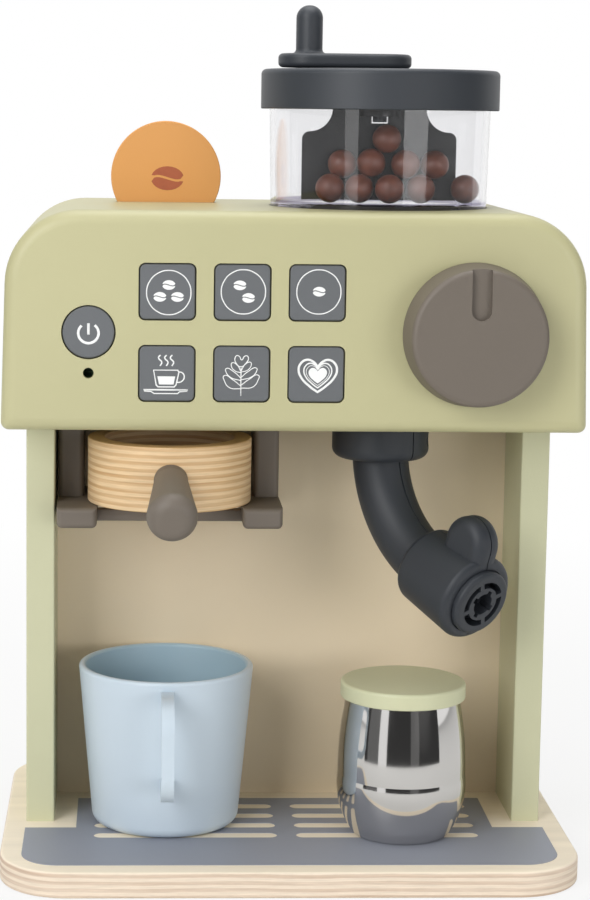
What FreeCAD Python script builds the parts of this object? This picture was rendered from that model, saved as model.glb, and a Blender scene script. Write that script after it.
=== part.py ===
import FreeCAD, Part
import math
import os
import re

# Toy coffee maker, in millimetres. X is to the right seen from the front, Y runs to the back, Z is up.
# The origin is the middle of the base board's underside, which rests on the table.

doc = FreeCAD.newDocument("coffee_maker")
sheet = doc.addObject("Spreadsheet::Sheet", "Sizes")

# Driving sizes: alias, value, what it measures
SIZES = [
    ("board_width", 220, "base board, left to right"),
    ("board_depth", 155, "base board, front to back"),
    ("board_thick", 10, "base board plywood"),
    ("board_corner", 26, "base board corner radius in plan"),
    ("board_edge", 1.2, "softened board edges"),
    ("print_thick", 0.2, "printed tray film"),
    ("print_half", 101.7, "tray print, middle to side"),
    ("print_front", 8.6, "board front to print front"),
    ("print_wing_back", 53.8, "board front to back edge of the print's wings"),
    ("print_back", 92.5, "board front to print back"),
    ("print_notch_half", 81.8, "middle to the step beside the side panels"),
    ("print_corner", 14, "front corner radius of the print"),
    ("drip_rows", 6, "rows of drip slots"),
    ("drip_pitch", 6.5, "row to row"),
    ("drip_first", 44, "board front to the front row"),
    ("drip_inner", 3.7, "middle to a drip slot's inner end"),
    ("drip_outer", 74.8, "middle to a drip slot's outer end"),
    ("drip_width", 4.6, "width of a drip slot"),
    ("panel_span", 203.2, "over the outer faces of the side panels"),
    ("panel_thick", 10.9, "side panel board"),
    ("panel_front", 62.4, "board front to the side panels"),
    ("panel_back_gap", 5, "board back to the side panels"),
    ("panel_height", 159.8, "board top to head underside"),
    ("wall_front", 101.4, "board front to the back wall"),
    ("wall_thick", 6, "back wall board"),
    ("groove_depth", 4, "groove for the back wall in each side panel"),
    ("wood_play", 0.1, "play of a panel in its groove or a piece in its seat"),
    ("head_front", 30.9, "board front to the head's front face"),
    ("head_height", 82.2, "head, underside to top"),
    ("head_depth", 114, "head shell, front to back"),
    ("head_draft", 1.6, "side draft of the head in degrees"),
    ("head_corner", 28, "top corner radius of the head"),
    ("head_foot", 3, "bottom corner radius of the head"),
    ("head_soft", 5, "rounded front edge of the head"),
    ("head_wall", 3, "wall of the head shell"),
    ("cover_thick", 3, "rear cover plate"),
    ("cover_rim", 6, "depth of the rear cover's locating rim"),
    ("cover_play", 0.2, "play of the rim in the shell"),
    ("button_size", 20.6, "square button"),
    ("button_gap", 0.4, "gap round a button"),
    ("button_corner", 2.2, "corner radius of a square button"),
    ("button_soft", 0.6, "softened face edges of a button"),
    ("button_pitch_x", 27.8, "button columns"),
    ("button_pitch_z", 30.4, "button rows"),
    ("button_mid_x", -20.4, "middle button column"),
    ("button_low_z", 21.9, "head underside to the lower row"),
    ("button_sink", 0.5, "button faces behind the front face"),
    ("button_lip", 1.6, "retaining lip round the back of a button"),
    ("button_lip_thick", 1.5, "thickness of that lip"),
    ("button_travel", 1.6, "travel of a button"),
    ("guide_depth", 5, "guide sleeve behind the front wall"),
    ("guide_wall", 1.8, "wall of the guide sleeve"),
    ("power_radius", 9.7, "round power button"),
    ("power_x", -77.3, "power button"),
    ("power_z", 37.1, "head underside to power button"),
    ("hole_radius", 2, "small sound hole"),
    ("hole_drop", 15.2, "power button to the sound hole below it"),
    ("dome_height", 4, "rubber key dome at rest"),
    ("dome_radius", 5, "rubber key dome"),
    ("dome_wall", 0.9, "rubber key dome wall"),
    ("switch_thick", 1.6, "switch board"),
    ("switch_margin", 8, "switch board beyond the outer buttons"),
    ("post_radius", 3, "screw posts"),
    ("screw_radius", 1.4, "small screw shank"),
    ("screw_head", 2.8, "small screw head radius"),
    ("screw_long", 9, "small screw shank length"),
    ("wood_screw_radius", 2, "wood screw shank"),
    ("wood_screw_head", 4, "wood screw head radius"),
    ("wood_screw_long", 34, "wood screw under its head"),
    ("screw_sink", 4, "depth of the screw heads under the base board"),
    ("head_thick", 2.2, "thickness of screw heads"),
    ("screw_short", 5.2, "short screw under its head"),
    ("knob_x", 66.3, "dial knob"),
    ("knob_z", 37.2, "head underside to the dial knob"),
    ("knob_radius", 27, "dial knob at its back"),
    ("knob_front_radius", 25.2, "dial knob at its front"),
    ("knob_depth", 15.5, "dial knob, front to back"),
    ("knob_gap", 0.5, "running gap behind the knob"),
    ("knob_soft", 2.2, "rounded front edge of the knob"),
    ("knob_hollow", 3, "wall of the knob"),
    ("notch_width", 7.4, "pointer notch"),
    ("notch_start", 6.6, "knob centre to the notch's inner end"),
    ("notch_depth", 2.4, "pointer notch depth"),
    ("knob_shaft", 5, "knob shaft radius"),
    ("run_play", 0.05, "radial play of a running fit"),
    ("boss_wall", 3, "wall of a bearing boss"),
    ("boss_depth", 12, "bearing boss behind the front wall"),
    ("clip_thick", 1.2, "push-on clip"),
    ("clip_radius", 8, "push-on clip radius"),
    ("coin_x", -47.9, "coin and its slot"),
    ("coin_back", 33, "coin slot to the head's back"),
    ("coin_radius", 22, "coin"),
    ("coin_thick", 4, "coin"),
    ("coin_show", 32.3, "coin above the head's top"),
    ("coin_play", 0.4, "play each side of the coin"),
    ("chute_wall", 2, "wall round the coin chute"),
    ("hopper_x", 35.6, "bean hopper"),
    ("hopper_back", 53.5, "hopper centre to the head's back"),
    ("recess_deep", 2.2, "hopper recess in the head's top"),
    ("recess_play", 0.5, "radial play of the hopper in its recess"),
    ("cup_radius", 42.4, "hopper cup at its base"),
    ("cup_top_radius", 43.6, "hopper cup at its top"),
    ("cup_height", 52.2, "hopper cup"),
    ("cup_wall", 1.8, "hopper cup wall"),
    ("cup_floor", 3.6, "hopper cup floor"),
    ("lid_radius", 46.7, "hopper lid"),
    ("lid_height", 15.4, "hopper lid"),
    ("lid_skirt", 2.4, "hopper lid skirt wall"),
    ("lid_top_thick", 3, "hopper lid top"),
    ("lid_soft", 2, "rounded top edge of the lid"),
    ("crank_reach", 28.2, "crank axis to peg axis"),
    ("crank_half_width", 12, "half width of the crank arm"),
    ("crank_soft", 1.8, "rounded edges of the crank arm"),
    ("crank_thick", 5.4, "crank arm"),
    ("crank_gap", 0.7, "crank arm above the lid"),
    ("peg_radius", 5.2, "crank peg"),
    ("peg_height", 18.6, "crank peg above the arm"),
    ("shaft_radius", 4, "crank shaft"),
    ("blade_thick", 3, "paddle blade"),
    ("blade_top_half", 18.5, "half width of the paddle's top"),
    ("blade_shoulder", 27.3, "half width of the paddle at the shoulder"),
    ("blade_half", 30.4, "half width of the paddle"),
    ("blade_neck", 20, "paddle top to its shoulder"),
    ("blade_flare", 10.5, "height of the flare above the shoulder"),
    ("hub_long", 14, "paddle hub"),
    ("blade_hub", 8, "paddle hub radius"),
    ("blade_gap", 1, "paddle below the lid and above the cup floor"),
    ("bean_radius", 5.6, "play coffee bean"),
    ("filter_x", -46.2, "portafilter and its bracket"),
    ("filter_setback", 68.6, "board front to the portafilter's centre"),
    ("filter_radius", 31.8, "portafilter disc"),
    ("filter_height", 25, "portafilter disc"),
    ("filter_bowl", 25, "radius of the hollow in the disc"),
    ("filter_bowl_deep", 14, "depth of that hollow"),
    ("filter_drop", 6.8, "head underside to the top of the disc"),
    ("handle_root", 6.5, "handle radius at the disc"),
    ("handle_end", 9.3, "handle radius near its end"),
    ("handle_long", 36, "handle outside the disc"),
    ("handle_high", 12.4, "disc underside to the handle's axis"),
    ("handle_seat", 1.5, "depth of the handle's seat in the disc"),
    ("handle_tilt", 15, "handle slope in degrees"),
    ("tenon_radius", 4.5, "handle tenon"),
    ("tenon_long", 6, "handle tenon inside the disc's wall"),
    ("arm_width", 9.8, "bracket arm"),
    ("bracket_half", 43.3, "bracket, middle to outer face"),
    ("arm_front", 77, "board front to the bracket arms"),
    ("rail_front", 49, "board front to the bracket rails"),
    ("rail_width", 15.3, "bracket rail"),
    ("rail_height", 8, "bracket rail"),
    ("strap_thick", 5, "bracket back strap"),
    ("flange_thick", 3, "bracket top flange"),
    ("bracket_soft", 2, "rounded bracket edges"),
    ("slide_gap", 0.3, "gap under and beside the portafilter"),
    ("wand_x", 36.4, "steam wand pivot"),
    ("wand_setback", 72, "board front to the wand pivot"),
    ("wand_turn", -54, "direction of the wand at rest, degrees from right"),
    ("collar_radius", 18.9, "wand collar"),
    ("collar_height", 14.6, "wand collar"),
    ("bend_drop", 10.2, "collar top to the start of the bend"),
    ("collar_soft", 4, "rounded lower edge of the collar"),
    ("wand_gap", 0.4, "collar below the head"),
    ("spigot_radius", 12, "wand spigot in the head"),
    ("spigot_bore", 8, "hollow of the spigot"),
    ("washer_thick", 2, "wand retaining washer"),
    ("washer_radius", 16, "wand retaining washer"),
    ("bend_radius", 46, "wand bend at its centre line"),
    ("bend_angle", 71, "wand bend in degrees"),
    ("tube_radius", 10.9, "wand tube"),
    ("tube_wall", 2, "wand tube wall"),
    ("nose_back", 4, "end housing behind the bend's end"),
    ("nose_long", 26.5, "end housing"),
    ("nose_radius", 17, "end housing radius at its mouth"),
    ("nose_back_radius", 15.2, "end housing radius at its back"),
    ("nose_soft", 3, "rounded edges of the end housing"),
    ("mouth_deep", 3, "recess of the nozzle flange"),
    ("mouth_play", 0.3, "gap round the nozzle flange"),
    ("plug_long", 12, "nozzle plug"),
    ("ring_radius", 8, "middle of the ring of nozzle slots"),
    ("ring_width", 2.4, "width of the nozzle slots"),
    ("spoke_width", 1.8, "spoke between nozzle slots"),
    ("key_radius", 4.4, "keyed hole in the nozzle"),
    ("key_width", 2.2, "key notches in that hole"),
    ("key_reach", 5.6, "hole centre to the end of a key notch"),
    ("nozzle_radius", 12.8, "nozzle flange"),
    ("nozzle_proud", 3, "nozzle flange beyond the housing"),
    ("nozzle_plug", 9.6, "nozzle plug inside the housing"),
    ("tab_long", 20.5, "thumb tab along the housing"),
    ("tab_high", 12.5, "thumb tab above the housing"),
    ("tab_thick", 12, "thumb tab across the split"),
    ("tab_soft", 4.4, "rounded thumb tab"),
    ("tab_place", 16, "thumb tab's middle from the bend's end"),
    ("seam_width", 0.5, "groove where the wand's shells meet"),
    ("seam_depth", 0.6, "depth of that groove"),
    ("nozzle_soft", 1.6, "bevelled rim of the nozzle flange"),
    ("mug_x", -46.9, "mug"),
    ("mug_setback", 66.7, "board front to the mug's centre"),
    ("mug_height", 63.2, "mug"),
    ("mug_radius", 34.3, "mug rim"),
    ("mug_base", 28.6, "mug near its base"),
    ("mug_wall", 2.8, "mug wall"),
    ("mug_soft", 4, "rounded mug base"),
    ("ear_width", 4.8, "mug handle across"),
    ("ear_reach", 21, "mug handle from the rim"),
    ("ear_top", 60, "mug base to the top of the handle"),
    ("ear_low", 20, "mug base to the bottom of the handle"),
    ("ear_bar", 5, "mug handle bar"),
    ("ear_corner", 12, "outer corner radius of the mug handle"),
    ("mug_floor", 4, "mug floor"),
    ("jug_x", 44.8, "milk jug"),
    ("jug_setback", 49.7, "board front to the jug's centre"),
    ("jug_height", 54.2, "jug body"),
    ("jug_belly", 24.9, "jug at its widest"),
    ("jug_belly_high", 24, "jug base to its widest"),
    ("jug_neck", 22, "jug mouth"),
    ("jug_base", 18.5, "jug base"),
    ("jug_wall", 1, "jug wall"),
    ("cap_radius", 24.2, "jug lid"),
    ("cap_thick", 6.3, "jug lid"),
    ("cap_plug", 5, "jug lid plug inside the mouth"),
    ("cap_play", 0.35, "play of the plug in the mouth"),
    ("tray_wall", 1.6, "battery tray wall"),
    ("cell_radius", 7.2, "battery cell"),
    ("cell_long", 50.5, "battery cell"),
    ("cell_count", 3, "battery cells side by side"),
    ("door_thick", 2, "battery door"),
    ("door_lap", 3, "battery door beyond the tray opening"),
    ("speaker_radius", 14, "speaker"),
    ("speaker_thick", 5, "speaker"),
]
NAMES = {alias for alias, value, note in SIZES}
for line, (alias, value, note) in enumerate(SIZES, start=1):
    sheet.set("A%d" % line, note)
    sheet.set("B%d" % line, str(value))
    sheet.setAlias("B%d" % line, alias)
doc.recompute()


def formula(text):
    """Write a formula of size names the way the document reads it."""
    return re.sub(r"[a-z_]+", lambda m: "Sizes." + m.group() if m.group() in NAMES else m.group(), str(text))


def value(text):
    """Work out a formula of size names."""
    result = sheet.evalExpression(formula(text))
    return float(getattr(result, "Value", result))


def bind(thing, **properties):
    for name, text in properties.items():
        thing.setExpression(name, formula(text))


def place(thing, x="0", y="0", z="0", axis=None, angle=0):
    """Turn a thing about an axis, then move its origin to x, y, z."""
    if axis:
        turn = FreeCAD.Rotation(FreeCAD.Vector(*axis), value(angle))
        thing.Placement = FreeCAD.Placement(FreeCAD.Vector(), turn)
    for letter, text in zip("xyz", (x, y, z)):
        thing.setExpression("Placement.Base." + letter, formula(text))
    return thing


def named(thing, label):
    thing.Label = label
    NODES.append(thing)
    return thing


NODES = []
DOWN = ((1, 0, 0), 180)
ALONG_X = ((0, 1, 0), 90)
TO_FRONT = ((1, 0, 0), 90)
TO_BACK = ((1, 0, 0), -90)


# Plain solids and how they are combined

def block(name, long, deep, high, x, y, z):
    """A box centred on x and y, standing on z."""
    thing = doc.addObject("Part::Box", name)
    bind(thing, Length=long, Width=deep, Height=high)
    return place(thing, "%s - (%s)/2" % (x, long), "%s - (%s)/2" % (y, deep), z)


def rod(name, radius, high, x="0", y="0", z="0", turn=(None, 0)):
    thing = doc.addObject("Part::Cylinder", name)
    bind(thing, Radius=radius, Height=high)
    return place(thing, x, y, z, *turn)


def cone(name, first, second, high, x="0", y="0", z="0", turn=(None, 0)):
    thing = doc.addObject("Part::Cone", name)
    bind(thing, Radius1=first, Radius2=second, Height=high)
    return place(thing, x, y, z, *turn)


def less(name, base, *tools):
    thing = doc.addObject("Part::Cut", name)
    thing.Base = base
    thing.Tool = tools[0] if len(tools) == 1 else union(name + "_tools", *tools)
    return thing


def union(name, *parts):
    thing = doc.addObject("Part::MultiFuse", name)
    thing.Shapes = list(parts)
    return thing


def group(name, *parts):
    """Separate solids kept together, such as a set of screws."""
    thing = doc.addObject("Part::Compound", name)
    thing.Links = list(parts)
    return thing


def common(name, *parts):
    thing = doc.addObject("Part::MultiCommon", name)
    thing.Shapes = list(parts)
    return thing


def soften(name, base, radius, test):
    """Round the edges of a plain solid that pass the test."""
    doc.recompute()
    edges = [n for n, e in enumerate(base.Shape.Edges, start=1) if test(e)]
    thing = doc.addObject("Part::Fillet", name)
    thing.Base = base
    thing.Edges = [(n, value(radius), value(radius)) for n in edges]
    return thing


# Sketched solids: each has its own body, sketches and features

def sketch(body, name, plane, offset="0"):
    """A sketch on one of the body's origin planes, moved along the plane's normal."""
    thing = body.newObject("Sketcher::SketchObject", name)
    origin = [f for f in body.Origin.OriginFeatures if f.Role == plane][0]
    thing.AttachmentSupport = [(origin, "")]
    thing.MapMode = "FlatFace"
    thing.setExpression("AttachmentOffset.Base.z", formula(offset))
    return thing


def fix_point(drawing, geometry, end, x, y):
    """Hold a point of the sketch at x, y from its origin."""
    import Sketcher
    for kind, text in (("DistanceX", x), ("DistanceY", y)):
        number = drawing.addConstraint(Sketcher.Constraint(kind, -1, 1, geometry, end, value(text)))
        drawing.setExpression("Constraints[%d]" % number, formula(text))


def outline(drawing, points):
    """A closed run of lines through points; a point with a third and fourth entry is reached by an arc
    that passes through that middle point."""
    import Sketcher
    number = len(points)
    start = drawing.GeometryCount
    flat = [[value(text) for text in point] for point in points]
    for n in range(number):
        here, there = flat[n], flat[(n + 1) % number]
        a = FreeCAD.Vector(here[0], here[1], 0)
        b = FreeCAD.Vector(there[0], there[1], 0)
        if len(there) == 4:
            middle = FreeCAD.Vector(there[2], there[3], 0)
            drawing.addGeometry(Part.Arc(a, middle, b))
        else:
            drawing.addGeometry(Part.LineSegment(a, b))
    for n in range(number):
        piece = drawing.Geometry[start + n]
        a = FreeCAD.Vector(flat[n][0], flat[n][1], 0)
        first = 1 if drawing.getPoint(start + n, 1).distanceToPoint(a) < 1e-6 else 2
        fix_point(drawing, start + n, first, points[n][0], points[n][1])
        fix_point(drawing, start + n, 3 - first, points[(n + 1) % number][0], points[(n + 1) % number][1])
        if isinstance(piece, Part.ArcOfCircle):
            middle = points[(n + 1) % number]
            spot = drawing.addGeometry(Part.Point(FreeCAD.Vector(value(middle[2]), value(middle[3]), 0)), True)
            fix_point(drawing, spot, 1, middle[2], middle[3])
            drawing.addConstraint(Sketcher.Constraint("PointOnObject", spot, 1, start + n))
    return drawing


def circle(drawing, radius, x="0", y="0"):
    import Sketcher
    centre = FreeCAD.Vector(value(x), value(y), 0)
    number = drawing.addGeometry(Part.Circle(centre, FreeCAD.Vector(0, 0, 1), value(radius)))
    fix_point(drawing, number, 3, x, y)
    held = drawing.addConstraint(Sketcher.Constraint("Radius", number, value(radius)))
    drawing.setExpression("Constraints[%d]" % held, formula(radius))
    return drawing


def slot(drawing, start, end, y, width):
    """A slot with round ends along X, from start to end."""
    low, top = "%s - %s/2" % (y, width), "%s + %s/2" % (y, width)
    first, last = "%s + %s/2" % (start, width), "%s - %s/2" % (end, width)
    return outline(drawing, [(first, low, start, y), (last, low), (last, top, end, y), (first, top)])


def rectangle(drawing, wide, high, x="0", y="0"):
    """A rectangle centred on x, y."""
    left, right = "%s - (%s)/2" % (x, wide), "%s + (%s)/2" % (x, wide)
    low, top = "%s - (%s)/2" % (y, high), "%s + (%s)/2" % (y, high)
    return outline(drawing, [(left, low), (right, low), (right, top), (left, top)])


def pad(body, drawing, length, backwards=False, both=False):
    thing = body.newObject("PartDesign::Pad", drawing.Name + "_pad")
    thing.Profile = drawing
    bind(thing, Length=length)
    thing.Reversed = backwards
    thing.Midplane = both
    doc.recompute()
    return thing


def pocket(body, drawing, length, backwards=False, both=False):
    """Cut a sketch into the body, and check that it took something away."""
    before = body.Shape.Volume
    thing = body.newObject("PartDesign::Pocket", drawing.Name + "_cut")
    thing.Profile = drawing
    bind(thing, Length=length)
    thing.Reversed = backwards
    thing.Midplane = both
    doc.recompute()
    if body.Shape.Volume > before - 1e-6:
        raise ValueError("nothing was cut by " + thing.Name)
    return thing


def turned(body, drawing):
    """Turn a profile about the body's own vertical axis."""
    thing = body.newObject("PartDesign::Revolution", drawing.Name + "_turn")
    thing.Profile = drawing
    thing.ReferenceAxis = (drawing, ["V_Axis"])
    thing.Angle = 360
    doc.recompute()
    return thing


def rounded(body, radius, test):
    """Round the edges of the body that pass the test."""
    base = body.Tip
    edges = ["Edge%d" % n for n, e in enumerate(base.Shape.Edges, start=1) if test(e)]
    thing = body.newObject("PartDesign::Fillet", base.Name + "_soft")
    thing.Base = (base, edges)
    bind(thing, Radius=radius)
    doc.recompute()
    return thing


def new_body(label):
    return named(doc.addObject("PartDesign::Body", label), label)


# Edge tests

def upright(edge):
    box = edge.BoundBox
    return box.ZLength > 1e-3 and box.XLength < 1e-3 and box.YLength < 1e-3


def along_y(edge):
    box = edge.BoundBox
    return box.YLength > 1e-3 and box.XLength < 1e-3 and box.ZLength < 1e-3


def at_z(height):
    level = value(height)
    return lambda edge: abs(edge.BoundBox.ZMin - level) < 1e-4 and abs(edge.BoundBox.ZMax - level) < 1e-4


def at_y(depth):
    level = value(depth)
    return lambda edge: abs(edge.BoundBox.YMin - level) < 1e-4 and abs(edge.BoundBox.YMax - level) < 1e-4


# Places that several pieces share
FRONT = "-board_depth/2"
PANEL_FRONT_Y = FRONT + " + panel_front"
PANEL_BACK_Y = "board_depth/2 - panel_back_gap"
PANEL_IN = "(panel_span/2 - panel_thick)"
WALL_Y = FRONT + " + wall_front"
HEAD_Z = "(board_thick + panel_height)"
HEAD_Y = "(" + FRONT + " + head_front)"
HEAD_BACK_Y = "(" + HEAD_Y + " + head_depth)"
HEAD_TOP = "(" + HEAD_Z + " + head_height)"
SLOPE = "tan(head_draft)"


# Base board: plywood with large corners and softened edges
board = new_body("base_board")
drawing = sketch(board, "board_plan", "XY_Plane")
rectangle(drawing, "board_width", "board_depth")
pad(board, drawing, "board_thick")
rounded(board, "board_corner", upright)
rounded(board, "board_edge", lambda e: at_z("0")(e) or at_z("board_thick")(e))
SCREW_SETBACKS = ("panel_front + 14", "board_depth - panel_back_gap - 14")
for name, radius, deep in (("holes", "wood_screw_radius", "board_thick"), ("sinks", "wood_screw_head + 0.3", "screw_sink")):
    drawing = sketch(board, "screw_" + name, "XY_Plane")
    for side in (-1, 1):
        for setback in SCREW_SETBACKS:
            circle(drawing, radius, "%d*(panel_span - panel_thick)/2" % side, "%s + %s" % (FRONT, setback))
    pocket(board, drawing, deep, backwards=True)

# Tray print: a thin film with rows of drip slots that show the wood
film = new_body("drip_tray_print")
place(film, z="board_thick")
front, wing, back = (FRONT + " + " + text for text in ("print_front", "print_wing_back", "print_back"))
drawing = sketch(film, "film_plan", "XY_Plane")
outline(drawing, [
    ("-print_half", front), ("print_half", front), ("print_half", wing), ("print_notch_half", wing),
    ("print_notch_half", back), ("-print_notch_half", back), ("-print_notch_half", wing), ("-print_half", wing)])
pad(film, drawing, "print_thick")
rounded(film, "print_corner", lambda e: upright(e) and e.BoundBox.YMax < value(front) + 1e-3)
slots = sketch(film, "drip_slots", "XY_Plane")
for row in range(int(value("drip_rows"))):
    row_y = "%s + drip_first + %d*drip_pitch" % (FRONT, row)
    slot(slots, "drip_inner", "drip_outer", row_y, "drip_width")
    slot(slots, "-drip_outer", "-drip_inner", row_y, "drip_width")
pocket(film, slots, "print_thick", backwards=True)

# Side panels: boards with a groove for the back wall
panel_deep = "(%s - (%s))" % (PANEL_BACK_Y, PANEL_FRONT_Y)
for label, side in (("side_panel_left", -1), ("side_panel_right", 1)):
    panel = new_body(label)
    place(panel, "%d*(panel_span - panel_thick)/2" % side, z="board_thick")
    drawing = sketch(panel, label + "_plan", "XY_Plane")
    outline(drawing, [
        ("-panel_thick/2", PANEL_FRONT_Y), ("panel_thick/2", PANEL_FRONT_Y),
        ("panel_thick/2", PANEL_BACK_Y), ("-panel_thick/2", PANEL_BACK_Y)])
    pad(panel, drawing, "panel_height")
    rounded(panel, "board_edge/2", lambda e: upright(e) and e.BoundBox.YMax < value(PANEL_FRONT_Y) + 1e-3)
    drawing = sketch(panel, label + "_groove", "XY_Plane")
    rectangle(drawing, "2*groove_depth", "wall_thick + 2*wood_play", "%d*panel_thick/2" % -side,
              WALL_Y + " + wall_thick/2")
    pocket(panel, drawing, "panel_height", backwards=True)
    for end, level in (("low", "0"), ("top", "panel_height - wood_screw_long + head_wall")):
        drawing = sketch(panel, "%s_%s_holes" % (label, end), "XY_Plane", level)
        for setback in SCREW_SETBACKS:
            circle(drawing, "wood_screw_radius", "0", "%s + %s" % (FRONT, setback))
        depth = "wood_screw_long - board_thick + screw_sink" if end == "low" else "wood_screw_long - head_wall"
        pocket(panel, drawing, depth, backwards=True)

# Back wall: a thin board in the panels' grooves
wall = new_body("back_wall")
place(wall, z="board_thick")
drawing = sketch(wall, "wall_plan", "XY_Plane")
rectangle(drawing, "2*(%s + groove_depth - wood_play)" % PANEL_IN, "wall_thick", "0", WALL_Y + " + wall_thick/2")
pad(wall, drawing, "panel_height")


# Head shell: a moulded tub, open at the back, with draft on its sides and a soft front edge
def head_profile(drawing, inset="0"):
    """The head's front outline, drawn in by a wall."""
    low = "(%s)" % inset
    high = "(head_height - (%s))" % inset
    half_low = "(board_width/2 - (%s) - %s*%s)" % (inset, low, SLOPE)
    half_high = "(board_width/2 - (%s) - %s*%s)" % (inset, high, SLOPE)
    outline(drawing, [("-" + half_low, low), (half_low, low), (half_high, high), ("-" + half_high, high)])


def head_corners(edge):
    return along_y(edge) and edge.BoundBox.ZMin > value("head_height") * 0.6


def head_feet(edge):
    return along_y(edge) and edge.BoundBox.ZMax < value("head_wall") + 1e-3


shell = new_body("head_shell")
place(shell, z=HEAD_Z)
drawing = sketch(shell, "head_outline", "XZ_Plane", "-" + HEAD_BACK_Y)
head_profile(drawing)
pad(shell, drawing, "head_depth")
rounded(shell, "head_corner", head_corners)
rounded(shell, "head_foot", head_feet)
rounded(shell, "head_soft", at_y(HEAD_Y))
inner = sketch(shell, "head_hollow", "XZ_Plane", "-" + HEAD_BACK_Y)
low, high = "head_wall", "(head_height - head_wall)"
corner = "(head_corner - head_wall)"
half_low = "(board_width/2 - head_wall - head_wall*%s)" % SLOPE
half_mid = "(board_width/2 - head_wall - (head_height - head_corner)*%s)" % SLOPE
half_top = "(%s - %s)" % (half_mid, corner)
diagonal = "%s*(1 - sqrt(0.5))" % corner
outline(inner, [
    ("-" + half_low, low), (half_low, low), (half_mid, "(head_height - head_corner)"),
    (half_top, high, "%s - %s" % (half_mid, diagonal), "%s - %s" % (high, diagonal)),
    ("-" + half_top, high),
    ("-" + half_mid, "(head_height - head_corner)", "-%s + %s" % (half_mid, diagonal),
     "%s - %s" % (high, diagonal))])
pocket(shell, inner, "head_depth - head_wall", backwards=True)

# Behind the front wall: guide sleeves for the buttons, the knob's bearing boss and the screw posts
BEHIND = "-(%s + head_wall)" % HEAD_Y
BUTTONS = [
    ("button_three_beans", -1, 1), ("button_two_beans", 0, 1), ("button_one_bean", 1, 1),
    ("button_cup", -1, 0), ("button_leaf", 0, 0), ("button_heart", 1, 0)]


def button_place(column, row):
    return "button_mid_x + %d*button_pitch_x" % column, "button_low_z + %d*button_pitch_z" % row


sleeve = "(button_size + 2*button_gap + 2*guide_wall)"
drawing = sketch(shell, "guides", "XZ_Plane", BEHIND + " - guide_depth")
for label, column, row in BUTTONS:
    x, z = button_place(column, row)
    rectangle(drawing, sleeve, sleeve, x, z)
circle(drawing, "power_radius + button_gap + guide_wall", "power_x", "power_z")
pad(shell, drawing, "guide_depth")
POSTS = [
    ("button_mid_x + %g*button_pitch_x" % column, "button_low_z + %g*button_pitch_z" % row)
    for column, row in ((-1.5, 1.62), (1.5, 1.62), (-1.5, -0.52), (1.5, -0.52), (0, 0.5))]
post_deep = "(head_wall + guide_depth + button_lip_thick + dome_height)"
drawing = sketch(shell, "knob_boss", "XZ_Plane", BEHIND + " - boss_depth")
circle(drawing, "knob_shaft + run_play + boss_wall", "knob_x", "knob_z")
pad(shell, drawing, "boss_depth")
drawing = sketch(shell, "post_ends", "XZ_Plane", BEHIND + " - (%s - head_wall)" % post_deep)
for x, z in POSTS:
    circle(drawing, "post_radius", x, z)
pad(shell, drawing, post_deep + " - head_wall")

# Over the cavity: the coin chute and the raised floor under the hopper's recess
COIN_Y = "(%s - coin_back)" % HEAD_BACK_Y
HOPPER_Y = "(%s - hopper_back)" % HEAD_BACK_Y
coin_low = "(coin_radius*2 - coin_show)"
slot_half = "sqrt(coin_radius*coin_radius - (coin_radius - %s)*(coin_radius - %s))" % (coin_low, coin_low)
slot_wide = "2*(%s + coin_play)" % slot_half
drawing = sketch(shell, "chute", "XY_Plane", "head_height - %s - chute_wall" % coin_low)
rectangle(drawing, slot_wide + " + 2*chute_wall", "coin_thick + 2*coin_play + 2*chute_wall", "coin_x", COIN_Y)
pad(shell, drawing, "%s + chute_wall - head_wall/2" % coin_low)
drawing = sketch(shell, "recess_floor", "XY_Plane", "head_height - head_wall - recess_deep")
circle(drawing, "cup_radius + recess_play + head_wall", "hopper_x", HOPPER_Y)
pad(shell, drawing, "recess_deep + head_wall/2")
drawing = sketch(shell, "coin_slot", "XY_Plane", "head_height")
rectangle(drawing, slot_wide, "coin_thick + 2*coin_play", "coin_x", COIN_Y)
pocket(shell, drawing, coin_low)
drawing = sketch(shell, "hopper_recess", "XY_Plane", "head_height")
circle(drawing, "cup_radius + recess_play", "hopper_x", HOPPER_Y)
pocket(shell, drawing, "recess_deep")
drawing = sketch(shell, "hopper_screw_holes", "XY_Plane", "head_height")
for side in (-1, 1):
    circle(drawing, "screw_radius", "hopper_x + %d*cup_radius/2" % side, HOPPER_Y)
pocket(shell, drawing, "recess_deep + head_wall")

# In the cavity's floor: the wand's socket and the screw holes into panels and bracket
WAND_Y = "(%s + wand_setback)" % FRONT
FILTER_Y = "(%s + filter_setback)" % FRONT
drawing = sketch(shell, "wand_socket", "XY_Plane", "0")
circle(drawing, "spigot_radius + run_play + boss_wall", "wand_x", WAND_Y)
pad(shell, drawing, "2*head_wall")
drawing = sketch(shell, "wand_bore", "XY_Plane", "2*head_wall")
circle(drawing, "spigot_radius + run_play", "wand_x", WAND_Y)
pocket(shell, drawing, "2*head_wall")
PANEL_SCREWS = [
    ("%d*(panel_span - panel_thick)/2" % side, "%s + %s" % (FRONT, setback))
    for side in (-1, 1) for setback in SCREW_SETBACKS]
BRACKET_SCREWS = [
    ("filter_x + %d*(bracket_half - arm_width - 4)" % side, "%s + arm_front + 12" % FRONT) for side in (-1, 1)]
drawing = sketch(shell, "panel_screw_holes", "XY_Plane", "head_wall")
for x, y in PANEL_SCREWS:
    circle(drawing, "wood_screw_radius", x, y)
for x, y in BRACKET_SCREWS:
    circle(drawing, "screw_radius", x, y)
pocket(shell, drawing, "head_wall")

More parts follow.
